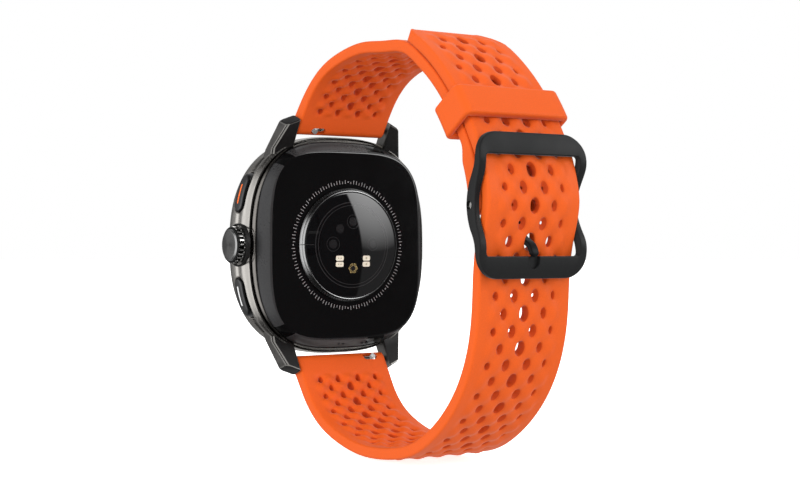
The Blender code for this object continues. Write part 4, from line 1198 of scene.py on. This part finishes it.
def build_scale():
    """A printed ring of long and short dashes, with dots between the groups."""
    shells = []
    inner, outer = SCALE_RADII
    for i in range(120):
        group = i % 15
        if group:
            high = outer if group % 3 != 1 else outer - 0.3
            shells.append(radial_bar(i * 3, inner, high, 0.075, 0.075, (-0.02, 0.015)))
    for i in range(8):
        shells.append(radial_bar(i * 45, *SCALE_DOTS, 0.15, 0.15, (-0.02, 0.015)))
    mesh = make_mesh("scale", shells, 60)
    add_piece("rear_printed_scale", mesh, INK, "case")


def radial_bar(degrees, low, high, half_low, half_high, levels):
    """A flat bar from one radius to another, at an angle from +X towards +Z, between two levels in y."""
    a = math.radians(degrees)
    out = np.array([math.cos(a), 0, math.sin(a)])
    side = np.array([-math.sin(a), 0, math.cos(a)])
    rows = []
    for y in levels:
        up = np.array([0, y, 0])
        corners = [(low, -half_low), (high, -half_high), (high, half_high), (low, half_low)]
        rows.append(np.array([out * r + side * w + up for r, w in corners]))
    return capped(rows)


def build_ports():
    """Two pairs of sound holes in the lower bevel, as dimples in dark rubber that paints the shade inside
    the holes.
    """
    normal = np.array([0.0, 0.58, -0.81])
    side = np.array([1.0, 0, 0])
    up = np.cross(normal, side)
    shells = []
    for x in DIMPLE_X:
        centre = np.array([x, DIMPLE_Y, DIMPLE_Z])
        rows = []
        for offset, radius in ((-0.3, 0.3), (0.02, 0.3), (0.03, 0.26), (0.01, 0.2), (-0.02, 0.02)):
            middle = centre + normal * offset
            rows.append(np.array([middle + side * u + up * v for u, v in circle(radius, 20)]))
        shells.append(capped(rows))
    mesh = make_mesh("sound_ports", shells, 40)
    # Dark rubber paints the shade inside the sound holes
    add_piece("sound_port_shade_dimples", mesh, RUBBER, "case")


# ---------------------------------------------------------------- sensor window

def dome_y(radius):
    """The height of the sensor window's domed glass at a distance from its middle."""
    return DOME_HEIGHT - (DOME_HEIGHT - DOME_EDGE) * (radius / DOME_RADIUS) ** 2


def dome_disc(centre, outline, proud=0.012):
    """A thin inlay flush with the dome: an outline round a centre, lying on the curved glass."""
    rows = []
    for share, lift in ((0.0005, proud), (0.35, proud), (0.7, proud), (0.97, proud), (1.0, -0.05)):
        ring = np.array([(centre[0] + share * u, centre[1] + share * v) for u, v in outline])
        y = dome_y(np.hypot(ring[:, 0], ring[:, 1])) + lift
        rows.append(np.column_stack([ring[:, 0], y, ring[:, 1]]))
    return capped(rows)


def dome_ring(centre, outer, inner, proud=0.012, steps=64):
    """A thin ring flush with the dome."""
    rows = []
    angles = np.linspace(0, 2 * math.pi, steps, endpoint=False)
    for radius, lift in ((inner, -0.05), (inner + 0.01, proud), (outer - 0.01, proud), (outer, -0.05)):
        x = centre[0] + radius * np.cos(angles)
        z = centre[1] + radius * np.sin(angles)
        rows.append(np.column_stack([x, dome_y(np.hypot(x, z)) + lift, z]))
    return np.concatenate(rows), grid_faces(4, steps, wrap_rows=True)


def circle(radius, count=40):
    """A circle's points round the origin."""
    angles = np.linspace(0, 2 * math.pi, count, endpoint=False)
    return np.column_stack([radius * np.cos(angles), radius * np.sin(angles)])


def pad_outline(half_x, half_z, corner, count=5):
    """A rectangle with round corners round the origin."""
    points = []
    for sx, sz, start in ((1, 1, 0), (-1, 1, 90), (-1, -1, 180), (1, -1, 270)):
        for degrees in np.linspace(start, start + 90, count):
            a = math.radians(degrees)
            points.append((sx * (half_x - corner) + corner * math.cos(a),
                           sz * (half_z - corner) + corner * math.sin(a)))
    return np.array(points)


def build_sensor():
    """The sensor window: collar, glass, and everything that shows under the glass."""
    build_window()
    build_optics()
    build_emitters()
    build_contact()
    build_seam()


def build_window():
    """The steel collar and the domed black glass."""
    collar = [(12.0, -1.2), (12.0, 0.16), (11.97, 0.22), (11.74, 0.7), (11.72, 0.72), (11.5, 1.2)]
    collar += [(11.44, 1.29), (11.36, 1.32), (11.27, 1.28), (11.25, 1.2), (11.25, -1.2)]
    mesh = make_mesh("collar", [turned(collar, "Y", (0, 0, 0), 180)], 20)
    add_piece("sensor_collar", mesh, RING_METAL, "case", ["sensor_ring"])
    dome = [(0.01, -1.1), (DOME_RADIUS, -1.1), (DOME_RADIUS, DOME_EDGE - 0.1)]
    dome += [(DOME_RADIUS - 0.04, DOME_EDGE - 0.03), (DOME_RADIUS - 0.12, dome_y(DOME_RADIUS - 0.12))]
    dome += [(radius, dome_y(radius)) for radius in (10.8, 10, 9, 8, 7, 6, 5, 4, 3, 2, 1, 0.01)]
    mesh = make_mesh("dome", [turned(dome, "Y", (0, 0, 0), 180)], 30)
    add_piece("sensor_dome_glass", mesh, DOME_BLACK, "case", ["sensor_dome"])


def build_optics():
    """Printed rings on the window, and the dark lenses of its photodiodes."""
    lines = [dome_ring((0, 0), 9.08, 8.86), dome_ring((0, 0), 8.42, 8.26)]
    spots = [((4.9, 0.2), 1.45), ((0.0, 4.9), 1.4), ((-4.9, 0.2), 1.3)]
    for centre, radius in spots:
        lines.append(dome_ring(centre, radius + 0.1, radius - 0.02, steps=40))
    mesh = make_mesh("window_lines", lines, 40)
    add_piece("window_line_rings", mesh, RING_LINE, "case")
    lenses = [dome_disc(centre, circle(radius * 0.66)) for centre, radius in spots]
    lenses.append(dome_disc((3.2, 3.4), circle(0.95)))
    mesh = make_mesh("lenses", lenses, 40)
    add_piece("photodiode_lenses", mesh, DARK_LENS, "case")


def build_emitters():
    """Two pairs of cream pads, with one or two chips on each."""
    pads = []
    dots = []
    for x in (3.3, -3.3):
        for z in (-2.78, -4.05):
            pads.append(dome_disc((x, z), pad_outline(0.95, 0.55, 0.34)))
            dot = 0.16 if x > 0 else 0.24
            for offset in (-0.3, 0.3) if x > 0 else (0.0,):
                dots.append(dome_disc((x + offset, z), circle(dot, 16), 0.02))
    add_piece("emitter_pads", make_mesh("pads", pads, 40), CREAM, "case")
    add_piece("emitter_chips", make_mesh("dots", dots, 40), EMITTER_CHIP, "case")


def build_contact():
    """The skin temperature sensor's gold contact, with six lobes and a dark core."""
    gear = []
    steps = 96
    for i in range(steps):
        a = 2 * math.pi * i / steps
        lobe = math.cos(CONTACT_LOBES * a)
        r = 1.08 + 0.1 * math.copysign(abs(lobe) ** 0.5, lobe)
        gear.append((r * math.cos(a), r * math.sin(a)))
    mesh = make_mesh("contact", [dome_disc(CONTACT_CENTRE, gear, 0.014)], 40)
    add_piece("temperature_contact", mesh, GOLD, "case")
    core = [dome_disc(CONTACT_CENTRE, circle(0.55), 0.024), dome_ring(CONTACT_CENTRE, 0.8, 0.7, 0.022, 32)]
    mesh = make_mesh("core", core, 40)
    add_piece("temperature_core", mesh, DARK_LENS, "case")


def build_seam():
    """The thin seam across the collar, on the crown's side."""
    seam = [(11.9, 0.45), (11.75, 0.76), (11.5, 1.28), (11.36, 1.37), (11.1, 1.38)]
    seam += [(radius, dome_y(radius) + 0.004) for radius in (10.6, 10.0, 9.3)]
    path = [(radius, y, 0.05) for radius, y in seam]
    mesh = make_mesh("seam", [tube(path, 0.07, 8, closed=False)], 60)
    add_piece("collar_seam", mesh, RUBBER, "case")


# ---------------------------------------------------------------- crown

def build_crown():
    """The slotted knob, the bright ring on its face, and the turned cap."""
    build_knob()
    high = CROWN_X[1]
    ring = [(3.32, -0.4), (3.32, 0.0), (3.29, 0.06), (3.02, 0.29), (2.98, 0.3), (2.94, 0.25), (2.94, -0.4)]
    ring = [(radius, high + x) for radius, x in ring]
    mesh = make_mesh("bevel_ring", [turned(ring, "X", (0, CROWN_Y, 0), 128)], 20)
    add_piece("crown_bright_ring", mesh, RING_METAL, "crown_knob")
    cap = [(0.01, high - 0.4), (2.93, high - 0.4), (2.93, high + 0.23), (2.88, high + 0.26)]
    cap += [(r, high + 0.45 - 0.19 * (r / 2.88) ** 2) for r in (2.7, 2.2, 1.7, 1.2, 0.7, 0.3, 0.01)]
    mesh = make_mesh("cap", [turned(cap, "X", (0, CROWN_Y, 0), 128)], 30)
    add_piece("crown_cap_disc", mesh, turned_metal(), "crown_knob", ["crown_cap"])


def build_knob():
    """The crown's rim, with slots that have round ends and sloping walls."""
    steps = CROWN_SLOTS * 16
    angles = np.linspace(0, 2 * math.pi, steps, endpoint=False)
    low, high = CROWN_X
    middle = (low + high) / 2 - 0.02
    profile = [(0.95, low), (3.4, low), (3.7, low + 0.08), (3.82, low + 0.2)]
    profile += [(CROWN_RADIUS, x) for x in np.linspace(low + 0.26, high - 0.42, 22)]
    profile += [(3.8, high - 0.32), (3.66, high - 0.14), (3.52, high - 0.05), (3.42, high - 0.02)]
    profile += [(3.36, high - 0.1), (3.34, high - 0.45), (0.95, high - 0.45)]
    around = (angles * CROWN_SLOTS / (2 * math.pi)) % 1 - 0.5
    across = np.abs(around) * 2 * math.pi * CROWN_RADIUS / CROWN_SLOTS
    rows = []
    for radius, x in profile:
        sink = 0.0
        if radius > 3.5:
            u = np.clip(across - SLOT_CORE[0], 0, None)
            v = max(abs(x - middle) - SLOT_CORE[1], 0)
            distance = np.hypot(u, v) - SLOT_ROUND
            sink = SLOT_SINK * np.clip(-distance / SLOT_SLOPE, 0, 1)
        r = radius - sink
        y = CROWN_Y + r * np.cos(angles)
        rows.append(np.column_stack([np.full(steps, float(x)), y, r * np.sin(angles)]))
    faces = grid_faces(len(rows), steps, wrap_rows=True)
    mesh = make_mesh("knob", [(np.concatenate(rows), faces)], 38)
    add_piece("crown_knob_metal", mesh, slot_shaded_metal(), "crown_knob", ["crown_knob"])


def slot_shaded_metal():
    """Polished ridges, with painted shade darkening the slots below the crown's rim."""
    material = procedural("crown_rim_slot_shade", (0.3, 0.295, 0.29), 0.2, 1.0, grain=2600, bump=0.03)
    tree = material.node_tree
    shader = tree.nodes["Principled BSDF"]
    geometry = tree.nodes.new("ShaderNodeTexCoord")
    apart = tree.nodes.new("ShaderNodeSeparateXYZ")
    tree.links.new(geometry.outputs["Object"], apart.inputs[0])
    flat = tree.nodes.new("ShaderNodeCombineXYZ")
    offset = tree.nodes.new("ShaderNodeMath")
    offset.operation = "SUBTRACT"
    offset.inputs[1].default_value = (REAR_FACE + CROWN_Y) * MM
    tree.links.new(apart.outputs["Y"], offset.inputs[0])
    tree.links.new(offset.outputs[0], flat.inputs[0])
    tree.links.new(apart.outputs["Z"], flat.inputs[1])
    size = tree.nodes.new("ShaderNodeVectorMath")
    size.operation = "LENGTH"
    tree.links.new(flat.outputs[0], size.inputs[0])
    rim = remap(tree, size.outputs["Value"], 0.3, 0.7, SLOT_SHADE_RADII[0] * MM, SLOT_SHADE_RADII[1] * MM)
    # Near black below the ridges' radius: painted shade in the slots
    tint = mix_colour(tree, rim, (0.012, 0.012, 0.012), (0.42, 0.41, 0.4))
    tree.links.new(tint, shader.inputs["Base Color"])
    return material


def turned_metal():
    """A cap turned on a lathe: fine circular grooves that stretch the reflections."""
    material = procedural("crown_turned_metal", (0.11, 0.109, 0.108), 0.34, 1.0, grain=2600, bump=0.03)
    tree = material.node_tree
    shader = tree.nodes["Principled BSDF"]
    shader.inputs["Anisotropic"].default_value = 0.85
    tangent = tree.nodes.new("ShaderNodeTangent")
    tangent.direction_type = "RADIAL"
    tangent.axis = "X"
    tree.links.new(tangent.outputs["Tangent"], shader.inputs["Tangent"])
    return material


# ---------------------------------------------------------------- buckle and keeper

def buckle_middle(offset):
    """The frame's middle surface in y, by the offset in z from its bar."""
    upper = np.interp(np.abs(offset), BUCKLE_OFFSETS, BUCKLE_UPPER_MIDDLE)
    lower = np.interp(np.abs(offset), BUCKLE_OFFSETS, BUCKLE_LOWER_MIDDLE)
    return np.where(offset > 0, upper, lower)


def smooth_middle(offset):
    """The frame's middle surface, averaged over a short stretch so that it has no creases."""
    shifts = np.linspace(-0.8, 0.8, 9)
    return sum(buckle_middle(offset + shift) for shift in shifts) / len(shifts)


def frame_quarter(half_at, top, corner, count):
    """A quarter outline from the side's middle up to the crossbar's middle, as (x, offset)."""
    points = []
    for offset in np.linspace(0, top - corner, count, endpoint=False):
        points.append((half_at(offset), offset))
    for degrees in np.linspace(0, 90, 12):
        a = math.radians(degrees)
        x = half_at(top - corner) - corner * (1 - math.cos(a))
        points.append((x, top - corner * (1 - math.sin(a))))
    edge = points[-1][0]
    points += [(x, top) for x in np.linspace(edge, 0, 14)[1:]]
    return np.array(points)


def full_loop(quarter):
    """The whole outline from its upper right quarter."""
    left_up = quarter[::-1][1:] * np.array([-1, 1])
    left_down = quarter[1:] * np.array([-1, -1])
    right_down = quarter[::-1][1:-1] * np.array([1, -1])
    return np.concatenate([quarter, left_up, left_down, right_down])


def outer_half(offset):
    """The frame's half width, which swells from its waist to its corners."""
    round_from = BUCKLE_CROSSBAR[1] - CORNER_ROUND
    swell = (1 - math.cos(math.pi * min(offset / round_from, 1))) / 2
    return BUCKLE_WAIST_HALF + swell * (BUCKLE_CORNER_HALF - BUCKLE_WAIST_HALF)


def window_half(offset):
    """The window's half width, the same at every offset."""
    return BUCKLE_WINDOW_HALF


def frame_section():
    """The frame's rounded section: inset from an edge, face, drop below it, and which edge."""
    section = []
    arc = [math.radians(d) for d in (0, 22.5, 45, 67.5, 90)]
    for face, from_window, turns in ((1, 0, arc), (1, 1, arc[::-1]), (-1, 1, arc), (-1, 0, arc[::-1])):
        for a in turns:
            inset = BUCKLE_EDGE * (1 - math.cos(a))
            section.append((inset, face, BUCKLE_EDGE * (1 - math.sin(a)), from_window))
    return section


def frame_mesh():
    """The frame before its cuts: the rounded section carried round between outline and window."""
    outside = full_loop(frame_quarter(outer_half, BUCKLE_CROSSBAR[1], CORNER_ROUND, 24))
    window = full_loop(frame_quarter(window_half, BUCKLE_CROSSBAR[0], WINDOW_ROUND, 24))
    rows = []
    width = np.linalg.norm(outside - window, axis=1)
    for inset, face, drop, from_window in frame_section():
        share = inset / width
        share = 1 - share if from_window else share
        flat = outside + (window - outside) * share[:, None]
        offset = flat[:, 1]
        half = np.interp(np.abs(offset), *BUCKLE_HALF_THICKNESS)
        y = smooth_middle(offset) + face * (half - drop)
        rows.append(np.column_stack([flat[:, 0], y, offset + BUCKLE_BAR[1]]))
    faces = grid_faces(len(rows), len(outside), wrap_rows=True)
    return make_mesh("frame", [(np.concatenate(rows), faces)], 40)


def build_buckle():
    """The frame, cut for its bar and for the tongue's seat, and the tongue."""
    radius = BAR_HOLE_RADIUS
    hole = [(0.001, -15.0), (radius, -15.0), (radius, 15.0), (0.001, 15.0)]
    cutters = [make_mesh("bar_hole", [turned(hole, "X", (0, *BUCKLE_BAR), 40)])]
    seat = circle(TONGUE_SEAT_RADIUS, 32)
    seat_z = np.where(seat[:, 1] > 0, seat[:, 1] * 0.5 - 1.2, seat[:, 1] - 2.9)
    rows = [np.column_stack([seat[:, 0], np.full(len(seat), y), seat_z]) for y in TONGUE_SEAT_Y]
    cutters.append(make_mesh("tongue_seat", [capped(rows)]))
    mesh = cut_mesh(frame_mesh(), cutters, 40)
    add_piece("buckle_frame_metal", mesh, BUCKLE_METAL, "buckle_frame", ["buckle_frame"])
    build_tongue()


def build_tongue():
    """A bent bar with a rounded tip, from an eye round the buckle's bar."""
    y, z = BUCKLE_BAR
    route = [(y - 0.35, z - 1.1), (58.6, 3.7), (58.95, 1.75), (60.2, 0.75)]
    route += [(61.7, -0.1), (62.45, -1.3), (62.6, -2.1)]
    middle = spline_through(route, 60)
    outward = normals(middle)
    steps = np.linalg.norm(np.diff(middle, axis=0), axis=1)
    to_tip = steps.sum() - np.concatenate([[0.0], np.cumsum(steps)])
    half = TONGUE_HALF_WIDTH
    rows = []
    for i in range(len(middle)):
        shrink = round_drop(to_tip[i], TONGUE_TIP_ROUND)
        width = max(half - shrink, 0.2)
        thick = max(TONGUE_HALF_THICKNESS - shrink * 0.35, 0.2)
        ring = pad_outline(width, thick, min(0.3, thick - 0.02, width - 0.02), 5)
        points = [(u, *(middle[i] + outward[i] * v)) for u, v in ring]
        rows.append(np.array(points))
    eye = [(0.8, -half), (1.2, -half), (1.4, -half + 0.15)]
    eye += [(radius, -x) for radius, x in eye[::-1]]
    shells = [capped(rows), turned(eye, "X", (0, y, z), 48)]
    mesh = make_mesh("tongue", shells, 40)
    add_piece("buckle_tongue_metal", mesh, TONGUE_METAL, "buckle_tongue",
              ["buckle_tongue"])


def keeper_profile():
    """The keeper's skin as (share along the band, inset): outside with rounded ends, then inside."""
    edge = KEEPER_EDGE
    turns = np.radians(np.linspace(90, 0, 7))
    near = [(edge * (1 - math.sin(a)), 0.0, edge * (1 - math.cos(a))) for a in turns]
    far = [(-along, 1.0, inset) for along, _, inset in near[::-1]]
    middle = [(0.0, share, 0.0) for share in np.linspace(0.1, 0.9, 7)]
    outside = near + middle + far
    inside = [(0.0, 1.0, KEEPER_INNER_EDGE), (-0.12, 1.0, 0.12), (-KEEPER_INNER_EDGE, 1.0, 0.0)]
    inside += [(-along, 0.0, inset) for along, _, inset in inside[::-1]]
    return outside, inside


def build_keeper():
    """The free loop round both straps, with its skin and its hollow along the closure's arc."""
    inside = SHORT_RADIUS - STRAP_THICKNESS - KEEPER_GAP - KEEPER_WALL
    outside = TAIL_RADIUS + KEEPER_GAP + KEEPER_WALL
    middle = (inside + outside) / 2
    half_r = (outside - inside) / 2
    centre_x = sum(KEEPER_X) / 2
    half_x = (KEEPER_X[1] - KEEPER_X[0]) / 2
    turn = math.degrees(1 / middle)
    cy, cz = CLOSURE_CENTRE
    skin, hollow = keeper_profile()
    stations = [(*station, 0.0, 0.0) for station in skin]
    stations += [(along, share, -inset, KEEPER_SIDE_WALL, KEEPER_WALL) for along, share, inset in hollow]
    rows = []
    for along, share, inset, side_wall, wall in stations:
        ring_x = half_x - side_wall - inset
        ring_r = half_r - wall - inset
        ring = densify(pad_outline(ring_x, ring_r, max(1.5 - wall - abs(inset), 0.35), 9))
        up = (ring[:, 1] + half_r) / (2 * half_r)
        start = KEEPER_INNER[0] + up * (KEEPER_OUTER[0] - KEEPER_INNER[0])
        end = KEEPER_INNER[1] + up * (KEEPER_OUTER[1] - KEEPER_INNER[1])
        angle = np.radians(start + share * (end - start) + along * turn)
        r = middle + ring[:, 1]
        y = cy + r * np.cos(angle)
        rows.append(np.column_stack([centre_x + ring[:, 0], y, cz + r * np.sin(angle)]))
    faces = grid_faces(len(rows), len(rows[0]), wrap_rows=True)
    mesh = make_mesh("keeper", [(np.concatenate(rows), faces)], 50)
    band = add_piece("keeper_band", mesh, SILICONE, "keeper_loop", ["keeper_loop"])
    band.visible_glossy = False


def densify(ring):
    """The closed ring with the same extra points on its four straight sides each time."""
    points = []
    count = len(ring)
    for i in range(count):
        here = ring[i]
        after = ring[(i + 1) % count]
        points.append(here)
        if (i + 1) % (count // 4) == 0:
            extra = 16 if (i + 1) // (count // 4) % 2 else 6
            points += [here + (after - here) * k / (extra + 1) for k in range(1, extra + 1)]
    return np.array(points)


# ---------------------------------------------------------------- front

def build_front():
    """The front bezel with its minute marks, its seal, the crystal and the display."""
    bezel = make_mesh("front", [cushion(FRONT_SECTIONS)], 30)
    add_piece("front_bezel_metal", bezel, GUNMETAL, "case", ["front_bezel"])
    gasket = make_mesh("gasket", [cushion(BEZEL_GASKET_SECTIONS)], 40)
    add_piece("bezel_seal_ring", gasket, RUBBER, "case", ["bezel_gasket"])
    marks = []
    for i in range(60):
        half = 0.05 if i % 5 else 0.11
        marks.append(radial_bar(i * 6, 19.4, 19.95, half, half, (-13.1, -13.29)))
    add_piece("front_minute_marks", make_mesh("marks", marks, 60), INK, "case")
    glass = [(0.01, -12.28), (18.85, -12.28), (18.85, -12.85), (18.78, -12.98), (18.5, -13.08)]
    glass += [(18.3, -13.1), (9.0, -13.1), (0.01, -13.1)]
    mesh = make_mesh("crystal", [turned(glass, "Y", (0, 0, 0), 180)], 30)
    add_piece("front_crystal_glass", mesh, clear_glass(), "case", ["front_crystal"])
    build_dial()


def clear_glass():
    """The front crystal's glass."""
    material = procedural("clear_crystal", (0.95, 0.95, 0.96), 0.03, grain=2500, bump=0.0,
                          rough_spread=0.005, smudge=0.01)
    shader = material.node_tree.nodes["Principled BSDF"]
    shader.inputs["Transmission Weight"].default_value = 1.0
    shader.inputs["IOR"].default_value = 1.45
    return material


def glowing(name, colour, strength):
    """A lit colour of the display."""
    material = procedural(name, colour, 0.4, grain=4000, bump=0.0)
    shader = material.node_tree.nodes["Principled BSDF"]
    shader.inputs["Emission Color"].default_value = (*colour, 1)
    shader.inputs["Emission Strength"].default_value = strength
    return material


def dial_ring(radius, width, start, end, y):
    """A flat arc on the display, between two clock angles in degrees."""
    count = max(int(abs(end - start) / 3), 6)
    turns = np.radians(90 - np.linspace(start, end, count))
    wide = radius + width / 2
    narrow = radius - width / 2
    outer = [(wide * math.cos(a), wide * math.sin(a)) for a in turns]
    inner = [(narrow * math.cos(a), narrow * math.sin(a)) for a in turns]
    outline = outer + inner[::-1]
    return capped([np.array([(x, level, z) for x, z in outline]) for level in (DIAL_BACK, y)])


def dial_bar(clock, low, high, half_low, half_high, y):
    """A flat bar on the display along a clock angle, from one radius to another."""
    return radial_bar(90 - clock, low, high, half_low, half_high, (DIAL_BACK, y))


def build_dial():
    """A generic running face: minute track, hour bars, three goal arcs, hands and numerals."""
    face = turned([(0.01, -11.2), (17.7, -11.2), (17.7, -12.15), (0.01, -12.15)], "Y", (0, 0, 0), 128)
    panel = procedural("display_black", (0.004, 0.004, 0.005), 0.2, grain=5000, bump=0.0, specular=0.1)
    add_piece("display_face", make_mesh("face", [face], 30), panel, "case",
              ["display_panel"])
    flat = DIAL_FLAT
    white = glowing("display_white", (0.85, 0.87, 0.9), 0.9)
    orange = glowing("display_orange", (0.95, 0.2, 0.02), 1.1)
    teal = glowing("display_teal", (0.02, 0.6, 0.55), 0.9)
    green = glowing("display_green", (0.3, 0.75, 0.05), 0.9)
    grey = glowing("display_grey", (0.16, 0.17, 0.18), 0.35)
    track = [dial_bar(i * 6, 16.5, 17.2, 0.06, 0.06, flat) for i in range(60) if i % 5]
    add_piece("display_minute_track", make_mesh("track", track, 60), grey, "case")
    bars = [dial_bar(i * 30, 14.9, 17.1, 0.22, 0.28, flat) for i in range(12) if i % 3]
    hands = [dial_bar(306, 1.2, 8.6, 0.5, 0.42, flat - 0.02)]
    hands.append(dial_bar(60, 1.2, 13.6, 0.36, 0.3, flat - 0.02))
    hub = [dial_ring(0.85, 0.5, 0, 359, flat - 0.02)]
    mesh = make_mesh("bars", bars + hands + hub, 60)
    add_piece("display_hour_bars", mesh, white, "case")
    second = [dial_bar(212, -3.0, 14.4, 0.12, 0.08, flat - 0.03)]
    second.append(dial_ring(12.9, 0.55, 200, 340, flat))
    add_piece("display_orange_marks", make_mesh("second", second, 60), orange, "case")
    add_piece("display_teal_arc", make_mesh("teal", [dial_ring(12.0, 0.55, 205, 312, flat)], 60), teal,
              "case")
    add_piece("display_green_arc", make_mesh("green", [dial_ring(11.1, 0.55, 210, 286, flat)], 60), green,
              "case")
    for text, clock in (("12", 0), ("3", 90), ("6", 180), ("9", 270)):
        numeral(text, clock, white, flat)


def numeral(text, clock, material, y):
    """A dial numeral, upright, at a clock angle."""
    curve = bpy.data.curves.new("numeral_" + text, "FONT")
    curve.body = text
    curve.size = NUMERAL_SIZE * MM
    curve.align_x = "CENTER"
    curve.align_y = "CENTER"
    curve.extrude = 0.02 * MM
    obj = bpy.data.objects.new("numeral", curve)
    bpy.context.scene.collection.objects.link(obj)
    a = math.radians(90 - clock)
    centre = place([[NUMERAL_RADIUS * math.cos(a), y, NUMERAL_RADIUS * math.sin(a)]])[0]
    # Read from the front, which looks along +Y with +X to the right.
    obj.matrix_world = Matrix.Translation(centre) @ Matrix.Rotation(math.radians(90), 4, "X")
    bpy.context.view_layer.update()
    graph = bpy.context.evaluated_depsgraph_get()
    mesh = bpy.data.meshes.new_from_object(obj.evaluated_get(graph))
    mesh.transform(obj.matrix_world)
    bpy.data.objects.remove(obj, do_unlink=True)
    tidy_mesh(mesh, 40, 1e-8)
    add_piece("display_numeral_" + text, mesh, material, "case")


# ---------------------------------------------------------------- carried-over CAD nodes

KEPT_FINISHES = (
    (STEEL, "upper_spring_bar lower_spring_bar buckle_bar crown_stem crown_retainer crown_tube"),
    (STEEL, "vibration_motor board_screw_1 board_screw_2 board_screw_3 board_screw_4"),
    (PIN_STEEL, "upper_release_pin lower_release_pin"),
    (RUBBER, "crown_seal upper_button_seal lower_button_seal"),
    (BLACK_PLASTIC, "inner_chassis speaker light_barrier"),
    (BLACK_PLASTIC, "crown_switch upper_button_switch lower_button_switch"),
    (FOIL, "battery"),
    (BOARD, "main_board sensor_board"),
    (CERAMIC, "gps_antenna"),
    (COPPER, "charging_coil"),
    (CREAM, "led_left led_right"),
    (DARK_LENS, "photodiode_left photodiode_right photodiode_top"),
    (GOLD, "skin_temperature_sensor"),
)


def dress_kept_nodes():
    """Gives every CAD node that no piece replaces its material."""
    for material, names in KEPT_FINISHES:
        for name in names.split():
            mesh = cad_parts[name].data
            mesh.materials.clear()
            mesh.materials.append(material)
            mesh.shade_smooth()
            mesh.set_sharp_from_angle(angle=math.radians(35))


# ---------------------------------------------------------------- studio

def direction(azimuth, elevation):
    """The unit vector towards a point of the studio; azimuth 0 is -Y and 90 is +X."""
    a = math.radians(azimuth)
    e = math.radians(elevation)
    return (math.sin(a) * math.cos(e), -math.cos(a) * math.cos(e), math.sin(e))


def build_world():
    """A pale studio; glossy surfaces mirror its patches, and matt ones get an even light."""
    world = bpy.data.worlds.new("studio")
    bpy.context.scene.world = world
    world.use_nodes = True
    tree = world.node_tree
    tree.nodes.clear()
    output = tree.nodes.new("ShaderNodeOutputWorld")
    background = tree.nodes.new("ShaderNodeBackground")
    tree.links.new(background.outputs[0], output.inputs[0])
    coordinates = tree.nodes.new("ShaderNodeTexCoord")
    level = tree.nodes.new("ShaderNodeValue")
    level.outputs[0].default_value = STUDIO_MIRRORED
    value = level.outputs[0]
    for azimuth, elevation, radius, soft, brightness in STUDIO_PATCHES:
        dot = tree.nodes.new("ShaderNodeVectorMath")
        dot.operation = "DOT_PRODUCT"
        dot.inputs[1].default_value = direction(azimuth, elevation)
        tree.links.new(coordinates.outputs["Generated"], dot.inputs[0])
        edge = remap(tree, dot.outputs["Value"], 0, 1, math.cos(math.radians(radius + soft / 2)),
                     math.cos(math.radians(max(radius - soft / 2, 0))))
        mix = tree.nodes.new("ShaderNodeMix")
        mix.inputs[3].default_value = brightness
        tree.links.new(edge, mix.inputs[0])
        tree.links.new(value, mix.inputs[2])
        value = mix.outputs[0]
    path = tree.nodes.new("ShaderNodeLightPath")
    for flag, brightness in (("Is Diffuse Ray", STUDIO_DIFFUSE), ("Is Camera Ray", STUDIO_SEEN)):
        mix = tree.nodes.new("ShaderNodeMix")
        mix.inputs[3].default_value = brightness
        tree.links.new(path.outputs[flag], mix.inputs[0])
        tree.links.new(value, mix.inputs[2])
        value = mix.outputs[0]
    tree.links.new(value, background.inputs["Strength"])
    background.inputs["Color"].default_value = WHITE


def add_light(name, azimuth, elevation, distance, size, power):
    """A square soft light that points at the watch and isn't mirrored."""
    data = bpy.data.lights.new(name, "AREA")
    data.shape = "SQUARE"
    data.size = size
    data.energy = power
    light = bpy.data.objects.new(name, data)
    bpy.context.scene.collection.objects.link(light)
    away = Vector(direction(azimuth, elevation))
    light.location = away * distance
    light.rotation_mode = "QUATERNION"
    light.rotation_quaternion = away.to_track_quat("Z", "Y")
    light.visible_camera = False
    light.visible_glossy = False


def build_stage():
    """The pale floor just under the watch, and the lights."""
    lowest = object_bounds()[0][2]
    mesh = bpy.data.meshes.new("floor")
    work = bmesh.new()
    bmesh.ops.create_circle(work, cap_ends=True, segments=96, radius=FLOOR_RADIUS)
    work.to_mesh(mesh)
    work.free()
    floor = bpy.data.objects.new("floor", mesh)
    floor.location = (0, 0, lowest - FLOOR_GAP)
    bpy.context.scene.collection.objects.link(floor)
    pale = procedural("pale_floor", (0.85, 0.85, 0.85), 0.9, grain=40, bump=0.0, spread=0.0)
    shader = pale.node_tree.nodes["Principled BSDF"]
    shader.inputs["Emission Color"].default_value = WHITE
    shader.inputs["Emission Strength"].default_value = FLOOR_GLOW
    mesh.materials.append(pale)
    floor.visible_glossy = False
    floor.visible_diffuse = False
    for light in LIGHTS:
        add_light(*light)


def build_camera():
    """The reference view: level, from behind and beside the crown, with a long lens."""
    data = bpy.data.cameras.new("camera")
    data.sensor_width = 36.0
    data.lens = CAMERA_LENS
    data.shift_y = CAMERA_SHIFT
    data.clip_start = 0.01
    data.clip_end = 50.0
    camera = bpy.data.objects.new("camera", data)
    bpy.context.scene.collection.objects.link(camera)
    camera.location = CAMERA_AT
    camera.rotation_mode = "QUATERNION"
    camera.rotation_quaternion = Vector(CAMERA_AWAY).to_track_quat("Z", "Y")
    bpy.context.scene.camera = camera


def build():
    build_camera()
    build_straps()
    build_midframe()
    build_rear()
    build_sensor()
    build_crown()
    build_buttons()
    build_buckle()
    build_keeper()
    build_front()
    dress_kept_nodes()
    build_world()
    build_stage()
    bpy.context.scene.view_settings.view_transform = "Standard"


build()
